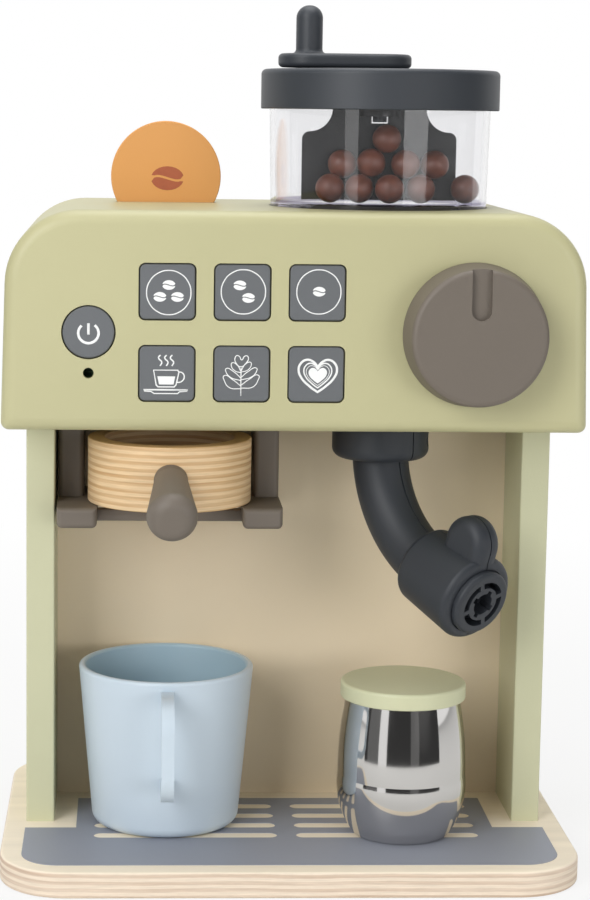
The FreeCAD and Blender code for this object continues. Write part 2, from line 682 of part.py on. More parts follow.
# Through the front wall: button openings, sound hole, knob bore and screw holes in the posts
drawing = sketch(shell, "button_openings", "XZ_Plane", BEHIND + " - guide_depth")
opening = "(button_size + 2*button_gap)"
for label, column, row in BUTTONS:
    x, z = button_place(column, row)
    rectangle(drawing, opening, opening, x, z)
circle(drawing, "power_radius + button_gap", "power_x", "power_z")
circle(drawing, "hole_radius", "power_x", "power_z - hole_drop")
pocket(shell, drawing, "head_wall + guide_depth", backwards=True)
KEY_SPOTS = [[value(text) for text in button_place(column, row)] for label, column, row in BUTTONS]


def key_hole_corners(edge):
    half = value(opening) / 2
    box = edge.BoundBox
    return along_y(edge) and any(abs(abs(box.XMin - x) - half) < 1e-3 and abs(abs(box.ZMin - z) - half) < 1e-3
                                 for x, z in KEY_SPOTS)


rounded(shell, "button_corner + button_gap", key_hole_corners)
drawing = sketch(shell, "knob_bore", "XZ_Plane", BEHIND + " - boss_depth")
circle(drawing, "knob_shaft + run_play", "knob_x", "knob_z")
pocket(shell, drawing, "head_wall + boss_depth", backwards=True)
drawing = sketch(shell, "post_holes", "XZ_Plane", BEHIND + " - (%s - head_wall)" % post_deep)
for x, z in POSTS:
    circle(drawing, "screw_radius", x, z)
pocket(shell, drawing, "screw_long - switch_thick", backwards=True)

# Rear cover: a plate of the head's outline with a locating rim, screw posts and the battery opening
cover = new_body("rear_cover")
place(cover, z=HEAD_Z)
drawing = sketch(cover, "cover_outline", "XZ_Plane", "-(%s + cover_thick)" % HEAD_BACK_Y)
head_profile(drawing)
pad(cover, drawing, "cover_thick")
rounded(cover, "head_corner", head_corners)
rounded(cover, "head_foot", head_feet)
rounded(cover, "head_foot/2", at_y(HEAD_BACK_Y + " + cover_thick"))
play = "(head_wall + cover_play)"
drawing = sketch(cover, "cover_rim", "XZ_Plane", "-" + HEAD_BACK_Y)
tall = "(head_height - 2*%s)" % play
wide = "(board_width - 2*head_corner - 2*head_wall)"
for along, across, x, z in (
        (wide, "2", "0", play + " + 1"), (wide, "2", "0", "head_height - %s - 1" % play)):
    rectangle(drawing, along, across, x, z)
pad(cover, drawing, "cover_rim")
TRAY_W = "(cell_long + 2*tray_wall + 4)"
TRAY_H = "(2*cell_radius*cell_count + 2*tray_wall)"
TRAY_D = "(2*cell_radius + tray_wall + 0.4)"
TRAY_Z = "(head_height/2 - 4)"
drawing = sketch(cover, "tray_outer", "XZ_Plane", "-" + HEAD_BACK_Y)
rectangle(drawing, TRAY_W, TRAY_H, "0", TRAY_Z)
pad(cover, drawing, TRAY_D)
drawing = sketch(cover, "tray_inner", "XZ_Plane", "-(%s + cover_thick)" % HEAD_BACK_Y)
rectangle(drawing, "%s - 2*tray_wall" % TRAY_W, "%s - 2*tray_wall" % TRAY_H, "0", TRAY_Z)
pocket(cover, drawing, "cover_thick + %s - tray_wall" % TRAY_D, backwards=True)
drawing = sketch(cover, "door_seat", "XZ_Plane", "-(%s + cover_thick)" % HEAD_BACK_Y)
rectangle(drawing, "%s + 2*door_lap" % TRAY_W, "%s + 2*door_lap" % TRAY_H, "0", TRAY_Z)
pocket(cover, drawing, "door_thick", backwards=True)
COVER_SCREWS = [
    ("%d*(board_width/2 - 2*head_wall - 2*post_radius)" % side, "head_height/2 + %d*head_height/5" % level)
    for side in (-1, 1) for level in (-1, 1)]
drawing = sketch(cover, "cover_screw_holes", "XZ_Plane", "-(%s + cover_thick)" % HEAD_BACK_Y)
for x, z in COVER_SCREWS:
    circle(drawing, "screw_radius", x, z)
circle(drawing, "screw_radius", "0", "%s + %s/2 + door_lap/2" % (TRAY_Z, TRAY_H))
pocket(cover, drawing, "cover_thick", backwards=True)
drawing = sketch(shell, "cover_posts", "XZ_Plane", "-%s" % HEAD_BACK_Y)
for n, (x, z) in enumerate(COVER_SCREWS):
    side = -1 if n < 2 else 1
    rectangle(drawing, "4*post_radius", "2*post_radius", "%s + %d*post_radius" % (x, side), z)
pad(shell, drawing, "2*screw_long")
drawing = sketch(shell, "cover_post_holes", "XZ_Plane", "-%s" % HEAD_BACK_Y)
for x, z in COVER_SCREWS:
    circle(drawing, "screw_radius", x, z)
pocket(shell, drawing, "screw_long - cover_thick + 1", backwards=True)
door = new_body("battery_door")
place(door, z=HEAD_Z)
drawing = sketch(door, "door_plate", "XZ_Plane", "-(%s + cover_thick)" % HEAD_BACK_Y)
rectangle(drawing, "%s + 2*door_lap - 2*cover_play" % TRAY_W, "%s + 2*door_lap - 2*cover_play" % TRAY_H, "0", TRAY_Z)
pad(door, drawing, "door_thick")
drawing = sketch(door, "door_hole", "XZ_Plane", "-(%s + cover_thick)" % HEAD_BACK_Y)
circle(drawing, "screw_radius", "0", "%s + %s/2 + door_lap/2" % (TRAY_Z, TRAY_H))
pocket(door, drawing, "door_thick", backwards=True)


# Screws: pan heads on plain shanks, several in one set
def screws(label, places, shank, head, long, turn=(None, 0)):
    """A set of screws; each place is where the underside of a head sits, and the shank runs along the turn."""
    parts = []
    for n, (x, y, z) in enumerate(places):
        parts.append(rod("%s_shank_%d" % (label, n), shank, long, x, y, z, turn))
        back = rod("%s_head_%d" % (label, n), head, "head_thick", x, y, z, turn)
        along = back.Placement.Rotation.multVec(FreeCAD.Vector(0, 0, 1))
        for letter, text, step in zip("xyz", (x, y, z), along):
            if abs(step) > 0.5:
                back.setExpression("Placement.Base." + letter, formula("%s - %d*head_thick" % (text, round(step))))
        parts.append(union("%s_%d" % (label, n), parts.pop(), back))
    return named(group(label, *parts), label)


screws("base_screws", [(x, y, "screw_sink") for x, y in PANEL_SCREWS],
       "wood_screw_radius", "wood_screw_head", "wood_screw_long")
screws("panel_top_screws", [(x, y, HEAD_Z + " + head_wall") for x, y in PANEL_SCREWS],
       "wood_screw_radius", "wood_screw_head", "wood_screw_long", DOWN)
screws("bracket_screws", [(x, y, HEAD_Z + " + head_wall") for x, y in BRACKET_SCREWS],
       "screw_radius", "screw_head", "screw_short", DOWN)
screws("board_screws", [(x, "%s + %s + switch_thick" % (HEAD_Y, post_deep), "%s + %s" % (HEAD_Z, z)) for x, z in POSTS],
       "screw_radius", "screw_head", "screw_long", TO_FRONT)
screws("cover_screws", [(x, HEAD_BACK_Y + " + cover_thick", "%s + %s" % (HEAD_Z, z)) for x, z in COVER_SCREWS],
       "screw_radius", "screw_head", "screw_long", TO_FRONT)
screws("hopper_screws", [("hopper_x + %d*cup_radius/2" % side, HOPPER_Y, HEAD_TOP + " - recess_deep - head_wall")
                         for side in (-1, 1)], "screw_radius", "screw_head", "screw_short")

# Buttons: six square keys and a round power key, each with a lip that holds it behind the front wall
def key(label, draw_face, draw_lip):
    body = new_body(label)
    place(body, z=HEAD_Z)
    drawing = sketch(body, label + "_face", "XZ_Plane", "-(%s + button_sink)" % HEAD_Y)
    draw_face(drawing)
    pad(body, drawing, "head_wall + guide_depth - button_sink", backwards=True)
    if label.startswith("button"):
        rounded(body, "button_corner", along_y)
    rounded(body, "button_soft", at_y(HEAD_Y + " + button_sink"))
    drawing = sketch(body, label + "_lip", "XZ_Plane", BEHIND + " - guide_depth")
    draw_lip(drawing)
    pad(body, drawing, "button_lip_thick", backwards=True)


LIP = "(button_size + 2*button_lip)"
DOMES = []
for label, column, row in BUTTONS:
    x, z = button_place(column, row)
    key(label, lambda d: rectangle(d, "button_size", "button_size", x, z), lambda d: rectangle(d, LIP, LIP, x, z))
    DOMES.append((label.replace("button", "dome"), x, z))
key("power_button", lambda d: circle(d, "power_radius", "power_x", "power_z"),
    lambda d: circle(d, "power_radius + button_lip", "power_x", "power_z"))
DOMES.append(("dome_power", "power_x", "power_z"))
DOME_Y = "(%s + head_wall + guide_depth + button_lip_thick)" % HEAD_Y
for label, x, z in DOMES:
    z = "%s + %s" % (HEAD_Z, z)
    outer = cone(label + "_outer", "dome_radius*0.6", "dome_radius", "dome_height", x, DOME_Y, z, TO_BACK)
    hollow = cone(label + "_inner", "dome_radius*0.6 - dome_wall", "dome_radius - dome_wall", "dome_height - dome_wall",
                  x, DOME_Y + " + dome_wall", z, TO_BACK)
    named(less(label, outer, hollow), label)

# Switch board behind the keys, with the speaker and the battery cells
BOARD_Y = "(%s + %s + switch_thick/2)" % (HEAD_Y, post_deep)
left = "(power_x - power_radius - 2)"
right = "(button_mid_x + 1.62*button_pitch_x + post_radius)"
plate = block("switch_plate", "%s - %s" % (right, left), "switch_thick", "2.3*button_pitch_z",
              "(%s + %s)/2" % (left, right), BOARD_Y, "%s + button_low_z - 0.62*button_pitch_z" % HEAD_Z)
holes = [rod("switch_hole_%d" % n, "screw_radius", "4*switch_thick", x, BOARD_Y + " - 2*switch_thick",
             "%s + %s" % (HEAD_Z, z), TO_BACK) for n, (x, z) in enumerate(POSTS)]
named(less("switch_board", plate, *holes), "switch_board")
named(rod("speaker", "speaker_radius", "speaker_thick", "coin_x + 2*speaker_radius + 4", COIN_Y, HEAD_Z + " + head_wall"), "speaker")
CELL_Y = "(%s - cell_radius + cover_thick - door_thick - 0.2)" % HEAD_BACK_Y
cells = [rod("cell_%d" % n, "cell_radius - 0.1", "cell_long", "-cell_long/2", CELL_Y,
             "%s + %s + %d*2*cell_radius" % (HEAD_Z, TRAY_Z, n - 1), ALONG_X) for n in range(3)]
named(group("battery_cells", *cells), "battery_cells")

# Dial knob: a hollow moulding with a pointer notch, its shaft in the boss and a push-on clip behind
knob = new_body("dial_knob")
place(knob, "knob_x", HEAD_Y + " - knob_gap", HEAD_Z + " + knob_z", (1, 0, 0), 90)
drawing = sketch(knob, "knob_profile", "XZ_Plane")
shaft_end = "-(knob_gap + head_wall + boss_depth + 3*clip_thick)"
outline(drawing, [
    ("0", shaft_end), ("knob_shaft", shaft_end), ("knob_shaft", "0"), ("2*knob_shaft", "0"),
    ("2*knob_shaft", "knob_depth - 2*knob_hollow"), ("knob_radius - knob_hollow", "knob_depth - 2*knob_hollow"),
    ("knob_radius - knob_hollow", "0"), ("knob_radius", "0"), ("knob_front_radius", "knob_depth"), ("0", "knob_depth")])
turned(knob, drawing)
rounded(knob, "knob_soft", at_z("knob_depth"))
drawing = sketch(knob, "knob_notch", "XY_Plane", "knob_depth")
notch_mid = "(notch_start + notch_width/2)"
outline(drawing, [
    ("-notch_width/2", notch_mid), ("notch_width/2", notch_mid, "0", "notch_start"),
    ("notch_width/2", "knob_radius + 1"), ("-notch_width/2", "knob_radius + 1")])
pocket(knob, drawing, "notch_depth")
clip = less("dial_clip", rod("clip_disc", "clip_radius", "clip_thick", "knob_x",
                             "%s + head_wall + boss_depth + run_play" % HEAD_Y, HEAD_Z + " + knob_z", TO_BACK),
            rod("clip_bore", "knob_shaft", "3*clip_thick", "knob_x",
                "%s + head_wall + boss_depth + run_play - clip_thick" % HEAD_Y, HEAD_Z + " + knob_z", TO_BACK))
named(clip, "dial_clip")

# Coffee coin, standing in its slot
coin = new_body("coffee_coin")
place(coin, "coin_x", COIN_Y + " + coin_thick/2", HEAD_TOP + " + coin_show - coin_radius", (1, 0, 0), 90)
drawing = sketch(coin, "coin_disc", "XY_Plane")
circle(drawing, "coin_radius")
pad(coin, drawing, "coin_thick")
rounded(coin, "board_edge/3", lambda e: isinstance(e.Curve, Part.Circle))

# Bean hopper: clear cup, lid, crank with peg and shaft, paddle and play beans
CUP_Z = "(%s - recess_deep)" % HEAD_TOP
cup = new_body("hopper_cup")
place(cup, "hopper_x", HOPPER_Y, CUP_Z)
drawing = sketch(cup, "cup_profile", "XZ_Plane")
outline(drawing, [
    ("0", "0"), ("cup_radius", "0"), ("cup_top_radius", "cup_height"), ("cup_top_radius - cup_wall", "cup_height"),
    ("cup_radius - cup_wall", "cup_floor"), ("0", "cup_floor")])
turned(cup, drawing)
drawing = sketch(cup, "cup_screw_holes", "XY_Plane")
for side in (-1, 1):
    circle(drawing, "screw_radius", "%d*cup_radius/2" % side)
pocket(cup, drawing, "screw_short - head_wall", backwards=True)
LID_Z = "(%s + cup_height + lid_top_thick - lid_height)" % CUP_Z
lid = new_body("hopper_lid")
place(lid, "hopper_x", HOPPER_Y, LID_Z)
drawing = sketch(lid, "lid_profile", "XZ_Plane")
bore = "(shaft_radius + run_play)"
under = "(lid_height - lid_top_thick)"
outline(drawing, [
    (bore, under), ("lid_radius - lid_skirt", under), ("lid_radius - lid_skirt", "0"), ("lid_radius", "0"),
    ("lid_radius", "lid_height"), (bore, "lid_height")])
turned(lid, drawing)
rounded(lid, "lid_soft", lambda e: at_z("lid_height")(e) and e.BoundBox.XLength > value("lid_radius"))
rounded(lid, "lid_soft/4", lambda e: at_z("0")(e) and e.BoundBox.XLength > value("2*lid_radius") - 0.1)

crank = new_body("grinder_crank")
place(crank, "hopper_x", HOPPER_Y, LID_Z + " + lid_height + crank_gap")
drawing = sketch(crank, "crank_arm", "XY_Plane")
slot(drawing, "-crank_reach - crank_half_width", "crank_half_width", "0", "2*crank_half_width")
pad(crank, drawing, "crank_thick")
rounded(crank, "crank_soft", lambda e: at_z("crank_thick")(e) or at_z("0")(e))
drawing = sketch(crank, "crank_peg", "XY_Plane")
circle(drawing, "peg_radius", "-crank_reach")
pad(crank, drawing, "crank_thick + peg_height")
rounded(crank, "peg_radius - 0.2", at_z("crank_thick + peg_height"))
rounded(crank, "crank_soft", lambda e: at_z("crank_thick")(e) and e.BoundBox.XLength < value("2*peg_radius") + 0.1)
drawing = sketch(crank, "crank_collar", "XY_Plane")
circle(drawing, "2*shaft_radius")
pad(crank, drawing, "crank_gap - run_play", backwards=True)
drawing = sketch(crank, "crank_shaft", "XY_Plane")
circle(drawing, "shaft_radius")
pad(crank, drawing, "crank_gap + lid_top_thick + blade_gap + hub_long - 2", backwards=True)
drawing = sketch(crank, "crank_screw_hole", "XY_Plane", "-(crank_gap + lid_top_thick + blade_gap + hub_long - 2)")
circle(drawing, "screw_radius")
pocket(crank, drawing, "screw_long - 2", backwards=True)

PADDLE_Z = "(%s + cup_floor + blade_gap)" % CUP_Z
tall = "(cup_height - cup_floor - 2*blade_gap)"
shoulder = "(%s - blade_neck)" % tall
paddle = new_body("grinder_paddle")
place(paddle, "hopper_x", HOPPER_Y, PADDLE_Z)
drawing = sketch(paddle, "paddle_blade", "XZ_Plane")
round_x, round_z = "(blade_half - blade_shoulder)", "(%s - (blade_half - blade_shoulder))" % shoulder
inner_x = "(blade_shoulder - 0.76*(blade_shoulder - blade_top_half))"
inner_z = "(%s + 0.3*blade_flare)" % shoulder
outline(drawing, [
    ("-blade_half", "0"), ("blade_half", "0"), ("blade_half", round_z),
    ("blade_shoulder", shoulder, "blade_half - 0.29*" + round_x, "%s - 0.29*%s" % (shoulder, round_x)),
    ("blade_top_half", shoulder + " + blade_flare", inner_x, inner_z),
    ("blade_top_half", tall), ("-blade_top_half", tall), ("-blade_top_half", shoulder + " + blade_flare"),
    ("-blade_shoulder", shoulder, "-" + inner_x, inner_z),
    ("-blade_half", round_z, "-blade_half + 0.29*" + round_x, "%s - 0.29*%s" % (shoulder, round_x))])
pad(paddle, drawing, "blade_thick", both=True)
drawing = sketch(paddle, "paddle_hub", "XY_Plane", tall)
circle(drawing, "blade_hub")
pad(paddle, drawing, "hub_long", backwards=True)
drawing = sketch(paddle, "paddle_bore", "XY_Plane", tall)
circle(drawing, "shaft_radius")
pocket(paddle, drawing, "hub_long - 2")
drawing = sketch(paddle, "paddle_screw_hole", "XY_Plane", tall)
circle(drawing, "screw_radius")
pocket(paddle, drawing, "hub_long")
drawing = sketch(paddle, "paddle_screw_room", "XY_Plane", tall + " - hub_long")
rectangle(drawing, "2*screw_head + 1", "2*screw_head + 1")
pocket(paddle, drawing, "head_thick + 0.5")
screws("crank_screw", [("hopper_x", HOPPER_Y, "%s + %s - hub_long" % (PADDLE_Z, tall))],
       "screw_radius", "screw_head", "screw_long")
BEANS = [
    (-3.58, -2.15, 1), (-1.58, -2.4, 1), (0.45, -3.04, 1), (2.68, -2.33, 1), (5.9, -1.42, 1),
    (-2.7, -1.42, 2.67), (-0.74, -1.92, 2.76), (1.64, -1.96, 2.69), (3.73, -1.52, 2.66), (0.35, -1.67, 4.43)]
balls = []
for n, (x, y, z) in enumerate(BEANS):
    ball = doc.addObject("Part::Sphere", "bean_%d" % n)
    bind(ball, Radius="bean_radius")
    place(ball, "hopper_x + %g*bean_radius" % x, "%s + %g*bean_radius" % (HOPPER_Y, y),
          "%s + cup_floor + %g*bean_radius + blade_gap/4" % (CUP_Z, z))
    balls.append(ball)
named(group("coffee_beans", *balls), "coffee_beans")

# Portafilter bracket: two arms with rails that carry the disc, a back strap and top flanges
RAIL_TOP = "(%s - filter_drop - filter_height - slide_gap)" % HEAD_Z
RAIL_Z = "(%s - rail_height)" % RAIL_TOP
ARM_Y = "(%s + arm_front)" % FRONT
RAIL_Y = "(%s + rail_front)" % FRONT
arm_deep = "(wall_front - arm_front)"
rail_deep = "(wall_front - rail_front)"
pieces = []
for side in (-1, 1):
    name = "right" if side > 0 else "left"
    x = "filter_x + %d*(bracket_half - arm_width/2)" % side
    arm = block("arm_" + name, "arm_width", arm_deep, "%s - %s" % (HEAD_Z, RAIL_Z), x, ARM_Y + " + %s/2" % arm_deep, RAIL_Z)
    pieces.append(soften("arm_%s_soft" % name, arm, "bracket_soft", lambda e: upright(e) and at_y(ARM_Y)(e)))
    x = "filter_x + %d*(bracket_half - rail_width/2)" % side
    rail = block("rail_" + name, "rail_width", rail_deep, "rail_height", x, RAIL_Y + " + %s/2" % rail_deep, RAIL_Z)
    pieces.append(soften("rail_%s_soft" % name, rail, "bracket_soft",
                         lambda e: at_y(RAIL_Y)(e) or (along_y(e) and e.BoundBox.ZMin < value(RAIL_Z) + 0.01)))
    x = "filter_x + %d*(bracket_half - arm_width - 4)" % side
    pieces.append(block("flange_" + name, "10", "16", "flange_thick", x, ARM_Y + " + 12", HEAD_Z + " - flange_thick"))
pieces.append(block("strap", "2*bracket_half - 2", "strap_thick", "rail_height - 2*bracket_soft", "filter_x",
                    ARM_Y + " + %s - strap_thick/2" % arm_deep, RAIL_Z + " + bracket_soft"))
holes = [rod("flange_hole_%d" % n, "screw_radius", "2*flange_thick", x, y, HEAD_Z + " - 1.5*flange_thick")
         for n, (x, y) in enumerate(BRACKET_SCREWS)]
named(less("portafilter_bracket", union("bracket_body", *pieces), *holes), "portafilter_bracket")

# Portafilter: plywood disc with a hollow top and a seated, tilted handle
DISC_Z = "(%s - filter_drop - filter_height)" % HEAD_Z
seat_turn = ((1, 0, 0), "90 + handle_tilt")
seat = ("filter_x", FILTER_Y + " - filter_radius + handle_seat", DISC_Z + " + handle_high")
disc = less("disc_body", rod("disc_round", "filter_radius", "filter_height", "filter_x", FILTER_Y, DISC_Z),
            rod("disc_bowl", "filter_bowl", "filter_bowl_deep", "filter_x", FILTER_Y,
                DISC_Z + " + filter_height - filter_bowl_deep"))
disc = soften("disc_soft", disc, "board_edge/2", lambda e: isinstance(e.Curve, Part.Circle) and e.Closed)
disc = less("portafilter_disc", disc, rod("disc_seat", "handle_root", "3*handle_seat", *seat, seat_turn),
            rod("disc_tenon", "tenon_radius", "2*tenon_long", seat[0], seat[1] + " + tenon_long*cos(handle_tilt)",
                seat[2] + " + tenon_long*sin(handle_tilt)", seat_turn))
named(disc, "portafilter_disc")
handle = new_body("portafilter_handle")
place(handle, *seat, *seat_turn)
drawing = sketch(handle, "handle_profile", "XZ_Plane")
tip = "(handle_seat + handle_long)"
shoulder_z = "(%s - handle_end*0.7)" % tip
outline(drawing, [
    ("0", "-tenon_long"), ("tenon_radius", "-tenon_long"), ("tenon_radius", "0"), ("handle_root", "0"),
    ("handle_root", "2.2*handle_seat"),
    ("handle_end", shoulder_z),
    ("handle_end*0.45", tip, "handle_end*0.87", "%s - handle_end*0.2" % tip), ("0", tip)])
turned(handle, drawing)

# Steam wand, drawn about its pivot with the bend towards X: two half shells, nozzle, washer and screws
WAND_Z = "(%s - wand_gap)" % HEAD_Z
END_X = "(bend_radius - bend_radius*cos(bend_angle))"
END_Z = "(-bend_drop - bend_radius*sin(bend_angle))"
TOWARDS_MOUTH = ((0, 1, 0), "180 - bend_angle")
spigot_high = "(wand_gap + 2*head_wall + 2*run_play)"


def along_nose(distance):
    """A place on the end housing's axis."""
    return END_X + " + (%s)*sin(bend_angle)" % distance, "0", END_Z + " - (%s)*cos(bend_angle)" % distance


def bend(name, radius):
    """The bent stretch of the tube."""
    thing = doc.addObject("Part::Torus", name)
    bind(thing, Radius1="bend_radius", Radius2=radius, Angle3="bend_angle")
    turn = FreeCAD.Rotation(FreeCAD.Vector(-1, 0, 0), FreeCAD.Vector(0, 0, -1), FreeCAD.Vector(0, -1, 0), "XYZ")
    thing.Placement = FreeCAD.Placement(FreeCAD.Vector(), turn)
    thing.setExpression("Placement.Base.x", formula("bend_radius"))
    thing.setExpression("Placement.Base.z", formula("-bend_drop"))
    return thing


def wand_outside(name, shrink):
    """The wand's outer form, or that form taken in by a distance."""
    collar = soften(name + "_collar_soft", rod(name + "_collar", "collar_radius - " + shrink, "collar_height - " + shrink,
                                               z="-collar_height + " + shrink), "collar_soft",
                    at_z("-collar_height + " + shrink))
    nose = cone(name + "_nose", "nose_back_radius - " + shrink, "nose_radius - " + shrink, "nose_back + nose_long - 2*" + shrink,
                *along_nose("-nose_back + " + shrink), TOWARDS_MOUTH)
    nose = soften(name + "_nose_soft", nose, "nose_soft", lambda e: isinstance(e.Curve, Part.Circle))
    tab_top = "(nose_radius + tab_high - tab_long/2)"
    tab = union(name + "_tab",
                block(name + "_tab_foot", "tab_thick - 2*" + shrink, "tab_long - 2*" + shrink, tab_top, "0", "0", "0"),
                rod(name + "_tab_round", "tab_long/2 - " + shrink, "tab_thick - 2*" + shrink, "-tab_thick/2 + " + shrink, "0",
                    tab_top, ALONG_X))
    side = value("tab_thick/2 - " + shrink)
    tab = soften(name + "_tab_soft", tab, "tab_soft - " + shrink, lambda e: e.BoundBox.XLength < 1e-4
                 and abs(abs(e.BoundBox.XMin) - side) < 1e-3 and e.BoundBox.ZMax > 1)
    angle = math.radians(value("bend_angle"))
    along = FreeCAD.Vector(math.sin(angle), 0, -math.cos(angle))
    away = FreeCAD.Vector(math.cos(angle), 0, math.sin(angle))
    tab.Placement = FreeCAD.Placement(FreeCAD.Vector(), FreeCAD.Rotation(FreeCAD.Vector(0, -1, 0), along, away, "XYZ"))
    for letter, text in zip("xyz", TAB_MIDDLE):
        tab.setExpression("Placement.Base." + letter, formula(text))
    return union(name, collar, bend(name + "_tube", "tube_radius - " + shrink), nose, tab)


TAB_MIDDLE = along_nose("tab_place")
outside = wand_outside("wand_outside", "0")
inside = wand_outside("wand_core", "seam_depth")
seam_slab = block("seam_slab", "6*bend_radius", "seam_width", "6*bend_radius", "0", "0", "-5*bend_radius")
seam = less("wand_seam", seam_slab, inside, block("seam_top", "6*bend_radius", "2*seam_width", "6*bend_radius", "0", "0",
                                                  "-seam_depth"))
solid = less("wand_grooved", union("wand_form", outside, rod("spigot", "spigot_radius", spigot_high)), seam)
mouth = [
    rod("spigot_inside", "spigot_bore", spigot_high + " + bend_drop", z="-bend_drop"),
    bend("tube_inside", "tube_radius - tube_wall"),
    rod("mouth_recess", "nozzle_radius + mouth_play", "2*mouth_deep", *along_nose("nose_long - mouth_deep"), TOWARDS_MOUTH),
    rod("mouth_bore", "nozzle_plug + wood_play", "plug_long + mouth_deep", *along_nose("nose_long - mouth_deep - plug_long"),
        TOWARDS_MOUTH)]
screw_spots = [("-0.72*collar_radius", "-collar_height/2"), ("0.72*collar_radius", "-collar_height/2")]
tab_spot = (TAB_MIDDLE[0] + " + (nose_radius + tab_high/3)*cos(bend_angle)",
            TAB_MIDDLE[2] + " + (nose_radius + tab_high/3)*sin(bend_angle)")
screw_spots.append(tab_spot)
screw_cuts = []
for n, (x, z) in enumerate(screw_spots):
    screw_cuts.append(rod("wand_hole_%d" % n, "screw_radius", "screw_long", x, "tab_thick/4", z, TO_FRONT))
    screw_cuts.append(rod("wand_sink_%d" % n, "screw_head + wood_play", "collar_radius", x, "tab_thick/4", z, TO_BACK))
for n, side in enumerate((-1, 1)):
    screw_cuts.append(rod("washer_hole_%d" % n, "screw_radius", "screw_long - washer_thick", "0",
                          "%d*(spigot_radius + spigot_bore)/2" % side, "%s - screw_long + washer_thick" % spigot_high))
whole = less("wand_whole", solid, *mouth, *screw_cuts)


def at_pivot(thing):
    """Turn a finished piece of the wand to its rest direction and bring it to the pivot."""
    thing.Placement = FreeCAD.Placement(FreeCAD.Vector(), FreeCAD.Rotation(FreeCAD.Vector(0, 0, 1), value("wand_turn")))
    return place(thing, "wand_x", WAND_Y, WAND_Z)


for label, side in (("wand_shell_left", -1), ("wand_shell_right", 1)):
    reach = "4*bend_radius"
    half_space = block(label + "_side", reach, reach, reach, "0", "%d*2*bend_radius" % side, "-3*bend_radius")
    named(at_pivot(common(label, whole, half_space)), label)
nozzle = union("nozzle_body",
               rod("nozzle_flange", "nozzle_radius", "mouth_deep + nozzle_proud", *along_nose("nose_long - mouth_deep"),
                   TOWARDS_MOUTH),
               rod("nozzle_plug_body", "nozzle_plug", "plug_long + 1", *along_nose("nose_long - mouth_deep - plug_long"),
                   TOWARDS_MOUTH))
nozzle = soften("nozzle_rim", nozzle, "nozzle_soft", lambda e: isinstance(e.Curve, Part.Circle)
                and abs(e.Curve.Radius - value("nozzle_radius")) < 1e-3
                and e.CenterOfMass.z < value(along_nose("nose_long")[2]) + 0.01)
face = "nose_long + nozzle_proud"
slot_deep = "(mouth_deep + nozzle_proud)"
ring = less("nozzle_ring",
            rod("ring_outer", "ring_radius + ring_width/2", slot_deep, *along_nose(face + " - " + slot_deep), TOWARDS_MOUTH),
            rod("ring_inner", "ring_radius - ring_width/2", slot_deep, *along_nose(face + " - " + slot_deep), TOWARDS_MOUTH))
NOSE_FRAME = FreeCAD.Rotation(FreeCAD.Vector(0, 1, 0), value("180 - bend_angle"))


def across_nose(name, long, wide, high, start, angle):
    """A bar across the end housing's axis, turned about it, from start towards the mouth."""
    thing = block(name, long, wide, high, "0", "0", "0")
    shifted = FreeCAD.Placement(FreeCAD.Vector(-value(long) / 2, -value(wide) / 2, 0), FreeCAD.Rotation())
    about = FreeCAD.Placement(FreeCAD.Vector(), FreeCAD.Rotation(FreeCAD.Vector(0, 0, 1), angle))
    x, y, z = along_nose(start)
    thing.setExpression("Placement.Base.x", None)
    thing.setExpression("Placement.Base.y", None)
    thing.setExpression("Placement.Base.z", None)
    thing.Placement = FreeCAD.Placement(FreeCAD.Vector(value(x), 0, value(z)), NOSE_FRAME) * about * shifted
    return thing


spokes = [across_nose("spoke_%d" % angle, "3*ring_radius", "spoke_width", slot_deep, face + " - " + slot_deep, angle)
          for angle in (20, 110)]
key_hole = [rod("key_bore", "key_radius", slot_deep + " + plug_long", *along_nose(face + " - " + slot_deep + " - plug_long/2"),
                TOWARDS_MOUTH)]
key_hole += [across_nose("key_%d" % angle, "2*key_reach", "key_width", slot_deep, face + " - " + slot_deep, angle)
             for angle in (65, 155)]
named(at_pivot(less("wand_nozzle", nozzle, less("nozzle_slots", ring, *spokes), *key_hole)), "wand_nozzle")
washer = less("washer_body", rod("washer_disc", "washer_radius", "washer_thick", z=spigot_high),
              *[rod("washer_bore_%d" % n, "screw_radius", "2*washer_thick", "0",
                    "%d*(spigot_radius + spigot_bore)/2" % side, "%s - washer_thick/2" % spigot_high)
                for n, side in enumerate((-1, 1))],
              rod("washer_middle", "spigot_bore", "2*washer_thick", z="%s - washer_thick/2" % spigot_high))
named(at_pivot(washer), "wand_washer")
wand_set = screws("wand_screws", [(x, "tab_thick/4", z) for x, z in screw_spots],
                  "screw_radius", "screw_head", "screw_long", TO_FRONT)
at_pivot(wand_set)
washer_set = screws("washer_screws", [("0", "%d*(spigot_radius + spigot_bore)/2" % side,
                                       "%s + washer_thick" % spigot_high) for side in (-1, 1)],
                    "screw_radius", "screw_head", "screw_long", DOWN)
at_pivot(washer_set)

# Mug: turned wall with a flat-sided loop handle towards the front
TABLE_Z = "(board_thick + print_thick)"
mug = new_body("mug")
place(mug, "mug_x", FRONT + " + mug_setback", TABLE_Z)
drawing = sketch(mug, "mug_profile", "XZ_Plane")
outline(drawing, [
    ("0", "0"), ("mug_base", "0"), ("mug_radius", "mug_height"), ("mug_radius - mug_wall", "mug_height"),
    ("mug_base - mug_wall", "mug_floor"), ("0", "mug_floor")])
turned(mug, drawing)
rounded(mug, "mug_soft", lambda e: at_z("0")(e))
rounded(mug, "mug_wall*0.45", at_z("mug_height"))
drawing = sketch(mug, "mug_ear", "YZ_Plane")


def in_wall(level):
    """The middle of the mug's wall at a height, towards the front."""
    return "-(mug_base + (mug_radius - mug_base)*(%s)/mug_height - mug_wall/2)" % level


